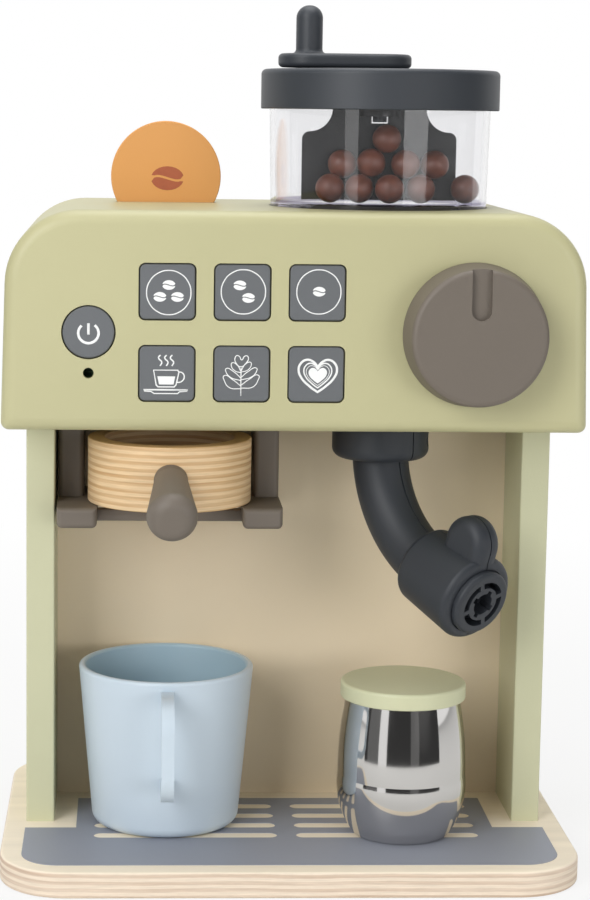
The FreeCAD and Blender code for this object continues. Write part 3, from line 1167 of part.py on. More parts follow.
reach = "-(mug_radius + ear_reach)"
outline(drawing, [
    (in_wall("ear_low"), "ear_low"), (in_wall("ear_low + ear_bar"), "ear_low + ear_bar"),
    (reach + " + ear_bar", "ear_low + ear_bar"), (reach + " + ear_bar", "ear_top - ear_bar"),
    (in_wall("ear_top - ear_bar"), "ear_top - ear_bar"), (in_wall("ear_top"), "ear_top"),
    (reach, "ear_top"), (reach, "ear_low")])
pad(mug, drawing, "ear_width", both=True)


def ear_edges(inner):
    def test(edge):
        box = edge.BoundBox
        if box.YLength > 1e-3 or box.ZLength > 1e-3 or abs(box.XLength - value("ear_width")) > 1e-3:
            return False
        return abs(box.YMin - value(reach + " + ear_bar" if inner else reach)) < 1e-3
    return test


rounded(mug, "ear_corner", ear_edges(False))
rounded(mug, "ear_corner - ear_bar", ear_edges(True))

# Milk jug: thin bulbous wall with a turned wooden lid
jug = new_body("jug_body")
place(jug, "jug_x", FRONT + " + jug_setback", TABLE_Z)
drawing = sketch(jug, "jug_profile", "XZ_Plane")


def jug_curve(wall):
    """The jug's side from foot to mouth, drawn in by a wall."""
    lower = ("jug_belly - 0.26*(jug_belly - jug_base) - %s" % wall, "0.36*jug_belly_high")
    upper = ("jug_belly - 0.22*(jug_belly - jug_neck) - %s" % wall, "jug_belly_high + 0.5*(jug_height - jug_belly_high)")
    return lower, upper


outside, inside = jug_curve("0"), jug_curve("jug_wall")
outline(drawing, [
    ("0", "0"), ("jug_base", "0"), ("jug_belly", "jug_belly_high", *outside[0]), ("jug_neck", "jug_height", *outside[1]),
    ("jug_neck - jug_wall", "jug_height"), ("jug_belly - jug_wall", "jug_belly_high", *inside[1]),
    ("jug_base - jug_wall", "jug_wall", *inside[0]), ("0", "jug_wall")])
turned(jug, drawing)
rounded(jug, "1.5*jug_wall", lambda e: at_z("0")(e))
cap = new_body("jug_lid")
place(cap, "jug_x", FRONT + " + jug_setback", TABLE_Z + " + jug_height")
drawing = sketch(cap, "cap_profile", "XZ_Plane")
plug = "(jug_neck - jug_wall - cap_play)"
outline(drawing, [
    ("0", "-cap_plug"), (plug, "-cap_plug"), (plug, "0"), ("cap_radius", "0"), ("cap_radius", "cap_thick"),
    ("0", "cap_thick")])
turned(cap, drawing)
rounded(cap, "board_edge", lambda e: at_z("cap_thick")(e))
rounded(cap, "board_edge/2", lambda e: at_z("0")(e) and e.BoundBox.XLength > value("2*cap_radius") - 0.1)

# Check every feature and piece, then write the pieces
doc.recompute()
for thing in doc.Objects:
    if "Invalid" in thing.State or "Error" in thing.State:
        raise ValueError("%s failed: %s" % (thing.Name, thing.State))
os.makedirs("parts", exist_ok=True)
for node in NODES:
    if node.Shape.isNull() or not node.Shape.isValid():
        raise ValueError(node.Label + " has no valid shape")
for node in NODES:
    node.Shape.exportStep("parts/%s.step" % node.Label)
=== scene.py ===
import math

import bmesh
import bpy
from mathutils import Matrix, Vector


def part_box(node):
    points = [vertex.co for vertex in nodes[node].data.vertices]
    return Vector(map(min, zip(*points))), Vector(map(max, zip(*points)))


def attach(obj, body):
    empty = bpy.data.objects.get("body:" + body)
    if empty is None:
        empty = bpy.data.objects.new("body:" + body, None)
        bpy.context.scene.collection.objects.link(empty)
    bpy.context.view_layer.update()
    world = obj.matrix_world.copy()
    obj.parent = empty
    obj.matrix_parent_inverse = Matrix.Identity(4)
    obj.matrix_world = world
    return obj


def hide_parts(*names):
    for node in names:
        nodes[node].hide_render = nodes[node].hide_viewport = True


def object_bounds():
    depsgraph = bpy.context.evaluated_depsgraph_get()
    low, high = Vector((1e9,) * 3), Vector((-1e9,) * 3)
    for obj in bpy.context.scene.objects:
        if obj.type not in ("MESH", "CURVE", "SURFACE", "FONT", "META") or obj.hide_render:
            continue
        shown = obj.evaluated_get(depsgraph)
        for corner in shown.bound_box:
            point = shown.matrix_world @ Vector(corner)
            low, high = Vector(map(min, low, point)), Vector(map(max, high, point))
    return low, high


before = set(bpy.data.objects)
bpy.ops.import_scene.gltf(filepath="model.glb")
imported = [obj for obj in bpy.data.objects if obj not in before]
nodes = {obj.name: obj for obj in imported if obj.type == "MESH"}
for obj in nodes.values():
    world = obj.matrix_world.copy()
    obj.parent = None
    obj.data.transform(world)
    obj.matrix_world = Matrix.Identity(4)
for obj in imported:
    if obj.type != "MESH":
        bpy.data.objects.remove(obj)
cad_low, cad_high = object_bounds()
bpy.ops.object.select_all(action="DESELECT")
MM = 0.001


# The room is a plain pale floor with a white surround and soft lamps, level
# enough that a colour comes out about as it is written.

def colour(red, green, blue):
    """A colour as the eye reads it, 0 to 255, made linear."""
    return tuple(((c / 255 + 0.055) / 1.055) ** 2.4 for c in (red, green, blue)) + (1.0,)


class Tree:
    """A node tree under construction."""

    def __init__(self, tree):
        self.tree = tree

    def node(self, kind, **values):
        """A new node with these values on its inputs."""
        made = self.tree.nodes.new(kind)
        for label, value in values.items():
            made.inputs[label.replace("_", " ")].default_value = value
        return made

    def join(self, source, target):
        """Link a socket to an input, or write a plain value there."""
        if isinstance(source, bpy.types.NodeSocket):
            self.tree.links.new(source, target)
        else:
            target.default_value = source

    def maths(self, operation, *terms):
        made = self.tree.nodes.new("ShaderNodeMath")
        made.operation = operation
        for term, socket in zip(terms, made.inputs):
            self.join(term, socket)
        return made.outputs[0]

    def vectors(self, operation, *terms):
        """A vector operation. Its outputs are a vector and a value."""
        made = self.tree.nodes.new("ShaderNodeVectorMath")
        made.operation = operation
        for term, socket in zip(terms, made.inputs):
            self.join(term, socket)
        return made.outputs

    def scaled(self, vector, amount):
        made = self.tree.nodes.new("ShaderNodeVectorMath")
        made.operation = "SCALE"
        self.join(vector, made.inputs[0])
        self.join(amount, made.inputs["Scale"])
        return made.outputs[0]

    def ranged(self, value, start, end, low=0.0, high=1.0, smooth=False):
        """Bring start to end over to low to high, and hold it there beyond them."""
        made = self.node("ShaderNodeMapRange", From_Min=start, From_Max=end, To_Min=low, To_Max=high)
        made.interpolation_type = "SMOOTHSTEP" if smooth else "LINEAR"
        self.join(value, made.inputs["Value"])
        return made.outputs["Result"]

    def mixed(self, amount, first, second):
        """Two colours in a share of 0 to 1."""
        made = self.tree.nodes.new("ShaderNodeMix")
        made.data_type = "RGBA"
        for source, number in ((amount, 0), (first, 6), (second, 7)):
            self.join(source, made.inputs[number])
        return made.outputs[2]

    def chosen(self, amount, first, second):
        """Two shaders in a share of 0 to 1."""
        made = self.tree.nodes.new("ShaderNodeMixShader")
        for source, socket in zip((amount, first, second), made.inputs):
            self.tree.links.new(source, socket)
        return made.outputs[0]

    def noise(self, where, scale, detail, **values):
        made = self.node("ShaderNodeTexNoise", Detail=detail, **values)
        self.join(where, made.inputs["Vector"])
        self.join(scale, made.inputs["Scale"])
        return made.outputs["Fac"]

    def stretched(self, where, scale):
        made = self.node("ShaderNodeMapping", Scale=scale)
        self.join(where, made.inputs["Vector"])
        return made.outputs[0]

    def place(self):
        """Where a point is on its object, and which way it faces."""
        made = self.tree.nodes.new("ShaderNodeTexCoord")
        return made.outputs["Object"], made.outputs["Normal"]

    def axes(self, vector):
        made = self.tree.nodes.new("ShaderNodeSeparateXYZ")
        self.join(vector, made.inputs[0])
        return made.outputs


WHITE = (1.0, 1.0, 1.0, 1.0)
ROOM_STRENGTH = 0.42
# name, place, width, height, power
LAMPS = [
    ("lamp_key", (-0.90, -1.20, 0.85), 0.8, 1.1, 13.8),
    ("lamp_fill", (0.85, -1.25, 0.22), 0.7, 0.4, 4.4),
    ("lamp_top", (0.0, 0.10, 1.35), 0.9, 0.9, 7.5),
]
AIM = Vector((0.0, 0.0, 0.15))

world = bpy.data.worlds.new("surround")
bpy.context.scene.world = world
world.use_nodes = True
sky = Tree(world.node_tree)
surround = world.node_tree.nodes["Background"]
surround.inputs["Color"].default_value = WHITE
surround.inputs["Strength"].default_value = ROOM_STRENGTH
backdrop = sky.node("ShaderNodeBackground", Color=WHITE, Strength=1.0)
ray = sky.node("ShaderNodeLightPath").outputs
seen = sky.maths("MAXIMUM", ray["Is Camera Ray"], ray["Is Transmission Ray"])
mirrored = sky.maths("MAXIMUM", seen, ray["Is Glossy Ray"])
sky.join(sky.chosen(mirrored, surround.outputs[0], backdrop.outputs[0]),
         world.node_tree.nodes["World Output"].inputs["Surface"])

for name, at, wide, high, power in LAMPS:
    lamp = bpy.data.lights.new(name, "AREA")
    lamp.shape = "RECTANGLE"
    lamp.size = wide
    lamp.size_y = high
    lamp.energy = power
    stand = bpy.data.objects.new(name, lamp)
    stand.location = at
    stand.rotation_euler = (AIM - Vector(at)).to_track_quat("-Z", "Y").to_euler()
    bpy.context.scene.collection.objects.link(stand)

# The floor keeps a faint shadow near the object and fades to white further out.
FLOOR_SIDE = 6.0
SHADOW_REACH = (0.15, 0.7)
SHADOW_HIDDEN = 0.8
bpy.ops.mesh.primitive_plane_add(size=FLOOR_SIDE, location=(0.0, 0.0, 0.0))
floor = bpy.context.object
floor.name = "floor"
floor_finish = bpy.data.materials.new("pale_floor")
floor_finish.use_nodes = True
ground = Tree(floor_finish.node_tree)
paper = floor_finish.node_tree.nodes["Principled BSDF"]
paper.inputs["Base Color"].default_value = (0.8, 0.8, 0.79, 1.0)
paper.inputs["Roughness"].default_value = 0.9
paper.inputs["Specular IOR Level"].default_value = 0.1
glow = ground.node("ShaderNodeEmission", Color=WHITE)
ray = ground.node("ShaderNodeLightPath").outputs
seen = ground.maths("MAXIMUM", ray["Is Camera Ray"], ray["Is Transmission Ray"])
away = ground.vectors("LENGTH", ground.place()[0])["Value"]
lift = ground.maths("MULTIPLY", seen, ground.ranged(away, *SHADOW_REACH, SHADOW_HIDDEN, 1.0))
ground.join(ground.chosen(lift, paper.outputs[0], glow.outputs[0]),
            floor_finish.node_tree.nodes["Material Output"].inputs["Surface"])
floor.data.materials.append(floor_finish)

# Curved cards round the front, which only mirrors see, draw the upright bands
# on the polished jug and the pale streak on the clear hopper.
CARD_MIDDLE = (0.045, -0.035)
CARD_AWAY = 0.24
CARD_FOOT = 0.001
CARD_SPLIT = 0.19
CARD_TOP = 0.7
# from angle, to angle, bottom, top, brightness, with 0 degrees straight in front
CARDS = [
    (-75, -69, CARD_FOOT, CARD_TOP, 0.05),
    (-69, -48, CARD_FOOT, CARD_TOP, 0.16),
    (-48, -33, CARD_FOOT, CARD_SPLIT, 0.95),
    (-48, -33, CARD_SPLIT, CARD_TOP, 2.6),
    (-33, 9, CARD_FOOT, CARD_TOP, 0.045),
    (9, 24, CARD_FOOT, CARD_TOP, 0.15),
    (24, 63, CARD_FOOT, CARD_TOP, 0.045),
    (-115, -75, CARD_SPLIT, CARD_TOP, 0.06),
    (63, 115, CARD_SPLIT, CARD_TOP, 0.06),
]
CARD_STEPS = 12
for number, (start, end, bottom, top, bright) in enumerate(CARDS):
    card_finish = bpy.data.materials.new("card_%d" % number)
    card_finish.use_nodes = True
    light = Tree(card_finish.node_tree)
    light.join(light.node("ShaderNodeEmission", Strength=bright).outputs[0],
               card_finish.node_tree.nodes["Material Output"].inputs["Surface"])
    corners = []
    for step in range(CARD_STEPS + 1):
        turn = math.radians(start + (end - start) * step / CARD_STEPS)
        x = CARD_MIDDLE[0] + CARD_AWAY * math.sin(turn)
        y = CARD_MIDDLE[1] - CARD_AWAY * math.cos(turn)
        corners += [(x, y, bottom), (x, y, top)]
    strips = [(2 * step, 2 * step + 2, 2 * step + 3, 2 * step + 1) for step in range(CARD_STEPS)]
    sheet = bpy.data.meshes.new("card_%d" % number)
    sheet.from_pydata(corners, [], strips)
    sheet.materials.append(card_finish)
    card = bpy.data.objects.new("card_%d" % number, sheet)
    bpy.context.scene.collection.objects.link(card)
    card.visible_camera = False
    card.visible_diffuse = False
    card.visible_shadow = False
    card.visible_transmission = False
bpy.ops.object.select_all(action="DESELECT")

# The camera stands 0.9 m in front, a little left of the middle and above the
# head, with a long lens. Its shift frames the object as the photograph does.
FRAME_WIDE = 590
FRAME_HIGH = 900
FOCAL = 2295.4
CENTRE_X = 220.0
CENTRE_Y = 427.3
YAW = 0.0400
PITCH = 0.1373
ROLL = -0.0116
STANDPOINT = Vector((-0.06209, -0.89319, 0.28880))

camera_data = bpy.data.cameras.new("camera")
camera_data.sensor_width = 36.0
camera_data.lens = FOCAL * camera_data.sensor_width / FRAME_HIGH
camera_data.shift_x = (FRAME_WIDE / 2 - CENTRE_X) / FRAME_HIGH
camera_data.shift_y = (CENTRE_Y - FRAME_HIGH / 2) / FRAME_HIGH
camera = bpy.data.objects.new("camera", camera_data)
ahead = Vector((math.sin(YAW) * math.cos(PITCH), math.cos(YAW) * math.cos(PITCH), -math.sin(PITCH)))
right = Vector((math.cos(YAW), -math.sin(YAW), 0.0))
down = ahead.cross(right)
across = right * math.cos(ROLL) + down * math.sin(ROLL)
below = down * math.cos(ROLL) - right * math.sin(ROLL)
camera.matrix_world = Matrix((
    (across.x, -below.x, -ahead.x, STANDPOINT.x),
    (across.y, -below.y, -ahead.y, STANDPOINT.y),
    (across.z, -below.z, -ahead.z, STANDPOINT.z),
    (0.0, 0.0, 0.0, 1.0),
))
bpy.context.scene.collection.objects.link(camera)
bpy.context.scene.camera = camera
bpy.context.scene.view_settings.view_transform = "Standard"


# The base board is 10 mm birch plywood, sanded and left bare, with the sides
# screwed on from below. Its plies show as light and darker bands at the edge.

class Finish(Tree):
    """A material under construction, with its shader."""

    def __init__(self, name, rough, specular=0.5):
        self.material = bpy.data.materials.new(name)
        self.material.use_nodes = True
        super().__init__(self.material.node_tree)
        self.shader = self.tree.nodes["Principled BSDF"]
        self.set("Roughness", rough)
        self.set("Specular IOR Level", specular)

    def set(self, label, source):
        self.join(source, self.shader.inputs[label])

    def effect(self, group, **values):
        """Place a shared effect with its own values."""
        made = self.tree.nodes.new("ShaderNodeGroup")
        made.node_tree = group
        for label, value in values.items():
            made.inputs[label].default_value = value
        return made.outputs

    def bump(self, height, distance):
        made = self.node("ShaderNodeBump", Distance=distance)
        self.join(height, made.inputs["Height"])
        self.set("Normal", made.outputs["Normal"])


def coat(finish, *names):
    """Give CAD nodes a finish in all their material slots."""
    for name in names:
        node = nodes[name]
        if not node.data.materials:
            node.data.materials.append(finish.material)
        for number in range(len(node.data.materials)):
            node.data.materials[number] = finish.material


class Effect(Tree):
    """A shared node group under construction, with what it takes and gives."""

    def __init__(self, name, takes, gives):
        super().__init__(bpy.data.node_groups.new(name, "ShaderNodeTree"))
        for label, start in takes.items():
            kind = "NodeSocketFloat" if isinstance(start, float) else "NodeSocketColor"
            self.tree.interface.new_socket(label, in_out="INPUT", socket_type=kind).default_value = start
        for label, kind in gives.items():
            self.tree.interface.new_socket(label, in_out="OUTPUT", socket_type=kind)
        self.takes = self.tree.nodes.new("NodeGroupInput").outputs
        self.gives = self.tree.nodes.new("NodeGroupOutput").inputs


def birch_layers():
    """Plywood: plies stacked along Z, veneer on the flat faces, end grain on the edges."""
    wood = Effect("birch_plies",
                  {"Light": WHITE, "Dark": WHITE, "Face": WHITE, "Ply": 1.35 * MM, "Start": 0.0},
                  {"Color": "NodeSocketColor", "Height": "NodeSocketFloat"})
    where, normal = wood.place()
    # The glue lines waver a little.
    sway = wood.maths("MULTIPLY_ADD", wood.noise(where, 22.0, 2.0), 1.6 * MM, wood.axes(where)["Z"])
    count = wood.maths("DIVIDE", wood.maths("ADD", sway, wood.takes["Start"]), wood.takes["Ply"])
    band = wood.ranged(wood.maths("PINGPONG", count, 1.0), 0.35, 0.65, smooth=True)
    # Each ply takes the stain a little differently along its length.
    stain = wood.noise(wood.stretched(where, (14.0, 14.0, 420.0)), 1.0, 2.0)
    depth = wood.maths("MULTIPLY", band, wood.ranged(stain, 0.3, 0.7, 0.25, 1.0))
    ply = wood.mixed(depth, wood.takes["Light"], wood.takes["Dark"])
    # End grain shows as short streaks along the ply, fine across it.
    speck = wood.noise(wood.stretched(where, (90.0, 90.0, 1500.0)), 1.0, 4.0, Roughness=0.65)
    edge = wood.scaled(ply, wood.ranged(speck, 0.3, 0.75, 1.07, 0.86))
    # The flat face has a long soft figure along X.
    grain = wood.noise(wood.stretched(where, (6.0, 95.0, 95.0)), 1.0, 5.0, Distortion=0.6)
    flat = wood.scaled(wood.takes["Face"], wood.ranged(grain, 0.3, 0.7, 1.05, 0.93))
    level = wood.ranged(wood.maths("ABSOLUTE", wood.axes(normal)["Z"]), 0.55, 0.9, smooth=True)
    wood.join(wood.mixed(level, edge, flat), wood.gives["Color"])
    wood.join(speck, wood.gives["Height"])
    return wood.tree


BIRCH_PLIES = birch_layers()


def birch(name, rough, grain_depth, **colours):
    """A plywood finish with its own colours."""
    finish = Finish(name, rough, 0.35)
    plies = finish.effect(BIRCH_PLIES, **colours)
    finish.set("Base Color", plies["Color"])
    finish.bump(plies["Height"], grain_depth)
    return finish


coat(birch("birch_board", 0.55, 0.08 * MM,
           Light=colour(240, 224, 204), Dark=colour(212, 187, 164), Face=colour(250, 237, 214)),
     "base_board")


# The portafilter's disc is 25 mm birch plywood, warmer in colour, with a bowl
# sunk in its top. It hangs on the bracket's rails, and the handle's tenon is
# seated in its edge.

coat(birch("birch_disc", 0.5, 0.12 * MM,
           Light=colour(234, 204, 161), Dark=colour(203, 160, 110), Face=colour(226, 186, 130),
           Start=0.4 * MM), "portafilter_disc")


# The printed film on the board imitates a drip tray. Its ink is a flat
# blue-grey with the faint dotted texture of screen printing, and rows of
# slots are left bare, so that the wood shows through them.

def fine_texture():
    """A soft uneven surface: two sizes of noise, for paint, moulding and print."""
    skin = Effect("fine_texture",
                  {"Color": WHITE, "Grain": 2500.0, "Patch": 25.0, "Change": 0.04, "Rough": 0.5},
                  {"Color": "NodeSocketColor", "Height": "NodeSocketFloat", "Roughness": "NodeSocketFloat"})
    where = skin.place()[0]
    grain = skin.noise(where, skin.takes["Grain"], 2.0)
    patch = skin.maths("SUBTRACT", skin.noise(where, skin.takes["Patch"], 3.0), 0.5)
    amount = skin.maths("MULTIPLY_ADD", patch, skin.takes["Change"], 1.0)
    skin.join(skin.scaled(skin.takes["Color"], amount), skin.gives["Color"])
    skin.join(grain, skin.gives["Height"])
    skin.join(skin.maths("MULTIPLY_ADD", patch, 0.12, skin.takes["Rough"]), skin.gives["Roughness"])
    return skin.tree


FINE_TEXTURE = fine_texture()


def textured(name, tint, rough, grain=2500.0, patch=25.0, change=0.05, depth=0.03 * MM):
    """A finish of one colour with a fine uneven surface, smooth where depth is 0."""
    finish = Finish(name, rough)
    surface = finish.effect(FINE_TEXTURE, Color=tint, Grain=grain, Patch=patch, Change=change, Rough=rough)
    finish.tint = surface["Color"]
    finish.set("Base Color", finish.tint)
    finish.set("Roughness", surface["Roughness"])
    if depth:
        finish.bump(surface["Height"], depth)
    return finish


def arc(x, y, radius, start, end, steps=10):
    """Points on an arc, its angles in degrees."""
    turns = [math.radians(start + (end - start) * step / steps) for step in range(steps + 1)]
    return [(x + radius * math.cos(a), y + radius * math.sin(a)) for a in turns]


def bare_copy(piece):
    """Select a piece alone, turn it into a mesh and hand it back."""
    bpy.ops.object.select_all(action="DESELECT")
    piece.select_set(True)
    bpy.context.view_layer.objects.active = piece
    bpy.ops.object.convert(target="MESH")
    return bpy.context.object


FILM_CORNER = 14 * MM
NOTCH = 81.8 * MM
WING_BACK = cad_low.y + 53.8 * MM
SLOT_FIRST = cad_low.y + 44 * MM
SLOT_PITCH = 12.5 * MM
SLOT_ROWS = 4
SLOT_INNER = 3.7 * MM
SLOT_OUTER = 74.8 * MM
SLOT_HALF = 2.95 * MM

film_low, film_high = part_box("drip_tray_print")
wing = film_high.x
corner_y = film_low.y + FILM_CORNER
film_lines = [
    arc(wing - FILM_CORNER, corner_y, FILM_CORNER, -90, 0)
    + [(wing, WING_BACK), (NOTCH, WING_BACK), (NOTCH, film_high.y)]
    + [(-NOTCH, film_high.y), (-NOTCH, WING_BACK), (-wing, WING_BACK)]
    + arc(FILM_CORNER - wing, corner_y, FILM_CORNER, 180, 270)
]
for row in range(SLOT_ROWS):
    middle = SLOT_FIRST + row * SLOT_PITCH
    for hand in (1, -1):
        near, far = sorted((hand * (SLOT_INNER + SLOT_HALF), hand * (SLOT_OUTER - SLOT_HALF)))
        film_lines.append(arc(near, middle, SLOT_HALF, 90, 270) + arc(far, middle, SLOT_HALF, -90, 90))
film_curve = bpy.data.curves.new("tray_film", "CURVE")
film_curve.dimensions = "2D"
film_curve.fill_mode = "BOTH"
film_curve.extrude = (film_high.z - film_low.z) / 2
for points in film_lines:
    run = film_curve.splines.new("POLY")
    run.points.add(len(points) - 1)
    for knot, (x, y) in zip(run.points, points):
        knot.co = (x, y, 0.0, 1.0)
    run.use_cyclic_u = True
film = bpy.data.objects.new("tray_film", film_curve)
bpy.context.scene.collection.objects.link(film)
film = bare_copy(film)
film.data.transform(Matrix.Translation((0.0, 0.0, (film_low.z + film_high.z) / 2)))
film.data.materials.clear()
tray_ink = textured("tray_ink", colour(148, 152, 163), 0.5, change=0.08, grain=4000.0)
film.data.materials.append(tray_ink.material)
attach(film, "coffee_maker")
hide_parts("drip_tray_print")


# The side panels are board painted sage with a satin finish, and the back wall
# in their grooves is board painted a duller beige. Both show the faint ripple
# of a roller.

coat(textured("sage_paint", colour(202, 202, 168), 0.45, grain=1200.0, depth=0.04 * MM),
     "side_panel_left", "side_panel_right")
coat(textured("beige_board", colour(233, 216, 186), 0.55, grain=1800.0), "back_wall")


# The head shell, its rear cover and the battery door are moulded in sage
# plastic with a fine sparked texture. The cover is screwed on from behind.

coat(textured("sage_moulding", colour(191, 187, 145), 0.42, grain=2200.0, depth=0.02 * MM),
     "head_shell", "rear_cover", "battery_door")


# The keys are mid-grey mouldings, each in an opening of its own and held by a
# lip behind the front wall. Their faces sit just behind the front face.

coat(textured("grey_key", colour(104, 107, 110), 0.5, grain=3000.0),
     "button_three_beans", "button_two_beans", "button_one_bean",
     "button_cup", "button_leaf", "button_heart", "power_button")


# The dial, the bracket and the portafilter's handle are taupe mouldings. The
# bracket is screwed under the head, and a low bar joins its rails.

taupe = textured("taupe_moulding", colour(113, 104, 94), 0.5, grain=2000.0, depth=0.04 * MM)
coat(taupe, "dial_knob", "portafilter_bracket", "portafilter_handle")

RAIL_WIDE = 15.3 * MM
BAR_SETBACK = 16 * MM
BAR_DEEP = 4 * MM
BAR_HIGH = 4.8 * MM
BAR_RISE = 0.6 * MM
BAR_OVERLAP = 1 * MM
BAR_SOFT = 0.8 * MM
bracket_low, bracket_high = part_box("portafilter_bracket")
bar_half = (bracket_high.x - bracket_low.x) / 2 - RAIL_WIDE + BAR_OVERLAP
bar_middle = Vector((
    (bracket_low.x + bracket_high.x) / 2,
    bracket_low.y + BAR_SETBACK,
    bracket_low.z + BAR_RISE + BAR_HIGH / 2,
))
bpy.ops.mesh.primitive_cube_add(size=1.0)
bar = bpy.context.object
bar.name = "bracket_bar"
bar.data.transform(Matrix.Translation(bar_middle) @ Matrix.Diagonal((2 * bar_half, BAR_DEEP, BAR_HIGH, 1.0)))
work = bmesh.new()
work.from_mesh(bar.data)
bmesh.ops.bevel(work, geom=work.edges[:], offset=BAR_SOFT, segments=3, profile=0.5, affect="EDGES")
work.to_mesh(bar.data)
work.free()
bpy.ops.object.shade_smooth_by_angle(angle=math.radians(40))
bar.data.materials.append(taupe.material)
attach(bar, "coffee_maker")


# The coin is a thin wooden disc, painted orange, that stands loose in a slot
# of the head.

coat(textured("coin_paint", colour(222, 158, 87), 0.5, grain=1500.0), "coffee_coin")


# The hopper is a clear moulded cup with a thick base. The base is tinted a
# darker violet as painted shade for the internal reflections in it. Its lid
# and crank are slate mouldings, its paddle a darker one, and round brown
# beads lie in it for beans. The screw into the crank is dark like the wand's.

slate = textured("slate_moulding", colour(49, 53, 59), 0.5, grain=2000.0)
coat(slate, "crank_screw")
coat(textured("lid_slate", colour(58, 62, 68), 0.48, grain=2000.0), "hopper_lid", "grinder_crank")
coat(textured("paddle_slate", colour(24, 26, 30), 0.42, grain=2000.0), "grinder_paddle")

BASE_THICK = 4.5 * MM
BASE_FADE = 0.4 * MM
clear = Finish("clear_plastic", 0.03)
clear.set("Transmission Weight", 1.0)
clear.set("IOR", 1.46)
# Below the top of the base the clear plastic is mixed to a darker violet, painted shade for the base's
# internal reflections.
base_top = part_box("hopper_cup")[0].z + BASE_THICK
above_base_shade = clear.ranged(clear.axes(clear.place()[0])["Z"], base_top, base_top + BASE_FADE)
clear.set("Base Color", clear.mixed(above_base_shade, colour(188, 184, 200), colour(245, 245, 246)))
coat(clear, "hopper_cup")
coat(textured("bean_plastic", colour(122, 66, 47), 0.32, grain=600.0, patch=180.0, change=0.35),
     "coffee_beans")


# The steam wand is moulded in two dark slate shells that meet in a seam along
# the tube, with a slotted nozzle between them. Dark screws from behind hold
# the halves together.

coat(slate, "wand_shell_left", "wand_shell_right", "wand_nozzle", "wand_screws")


# The toy mug is pale blue plastic. Its inside is painted a deeper blue, as
# painted shade where less light reaches into the bowl. The finger grip
# reaches only forwards, so the bowl's axis is found from its back.

MUG_SHADE_RAMP = (-2 * MM, -20 * MM)
mug_low, mug_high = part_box("mug")
mug_axis = ((mug_low.x + mug_high.x) / 2, mug_high.y - (mug_high.x - mug_low.x) / 2, 0.0)
blue = textured("blue_mug", colour(200, 214, 225), 0.35, grain=1500.0, depth=0.02 * MM)
where, normal = blue.place()
spoke = blue.vectors("MULTIPLY", blue.vectors("SUBTRACT", where, mug_axis)[0], (1.0, 1.0, 0.0))[0]
# Faces turned towards the bowl's axis get painted shade: the inside is mixed to a deeper blue.
painted_shade_inside = blue.ranged(blue.vectors("DOT_PRODUCT", spoke, normal)["Value"], *MUG_SHADE_RAMP)
blue.set("Base Color", blue.mixed(painted_shade_inside, blue.tint, colour(168, 194, 208)))
coat(blue, "mug")


# The milk jug is drawn from sheet steel and polished bright. Its loose lid is a
# wooden disc, painted like the sides, with a plug that sits in the mouth.

steel = textured("polished_steel", colour(214, 212, 210), 0.07,
                 grain=900.0, patch=40.0, change=0.03, depth=0.0)
steel.set("Metallic", 1.0)
coat(steel, "jug_body")
coat(textured("sage_wood", colour(206, 207, 172), 0.42, grain=1200.0), "jug_lid")


# The other screws are zinc plated steel. The wand's washer and the speaker are
# black plastic, the dial's clip is grey, and the domes that spring the keys
# are milky silicone.

zinc = textured("zinc_screws", colour(196, 198, 200), 0.34,
                grain=1200.0, patch=300.0, change=0.15, depth=0.0)
zinc.set("Metallic", 1.0)
coat(zinc, "base_screws", "board_screws", "bracket_screws", "cover_screws", "hopper_screws",
     "panel_top_screws", "washer_screws")
coat(textured("black_plastic", colour(44, 45, 48), 0.5, grain=1800.0), "wand_washer", "speaker")
coat(textured("clip_plastic", colour(128, 126, 122), 0.5, grain=1800.0), "dial_clip")
milky = textured("clear_rubber", colour(226, 226, 220), 0.4, grain=900.0)
milky.set("Transmission Weight", 0.5)
coat(milky, "dome_three_beans", "dome_two_beans", "dome_one_bean", "dome_cup", "dome_leaf", "dome_heart",
     "dome_power")


# The switch board is green laminate, screwed to posts behind the keys. Paler
# copper tracks show under its mask.

laminate = textured("circuit_board", colour(38, 98, 62), 0.4, grain=900.0)
upright = laminate.node("ShaderNodeMapping", Rotation=(math.radians(90), 0.0, 0.0))
laminate.join(laminate.place()[0], upright.inputs["Vector"])
tracks = laminate.node("ShaderNodeTexBrick", Scale=160.0, Mortar_Size=0.03, Color1=colour(38, 98, 62),
                       Color2=colour(42, 106, 66), Mortar=colour(92, 150, 96))
tracks.offset = 0.35
laminate.join(upright.outputs[0], tracks.inputs["Vector"])
laminate.set("Base Color", tracks.outputs["Color"])
coat(laminate, "switch_board")


# Three battery cells lie across the head behind the battery door, one above
# another, in shrunk sleeves. The lower two are dark and the upper one is
# copper coloured.

UPPER_CELL_HIGH = 14 * MM
SLEEVE_EDGE = 0.2 * MM
sleeve = textured("cell_wrap", colour(46, 48, 52), 0.35, grain=700.0)
upper_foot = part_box("battery_cells")[1].z - UPPER_CELL_HIGH
band = sleeve.ranged(sleeve.axes(sleeve.place()[0])["Z"],
                     upper_foot - SLEEVE_EDGE, upper_foot + SLEEVE_EDGE, smooth=True)
sleeve.set("Base Color", sleeve.mixed(band, colour(46, 48, 52), colour(190, 120, 72)))
coat(sleeve, "battery_cells")


# White icons are pad printed on the keys and a brown bean on the coin, as thin
# raised ink. Each is drawn in millimetres from the middle of its key.

INK_RISE = 0.04 * MM
PATCH_HALF = 0.2
WELD = 1e-7

white_ink = textured("white_ink", colour(244, 245, 244), 0.45, grain=5000.0, depth=0.01 * MM)
brown_ink = textured("brown_ink", colour(172, 90, 56), 0.5, grain=900.0, patch=400.0, change=0.25)


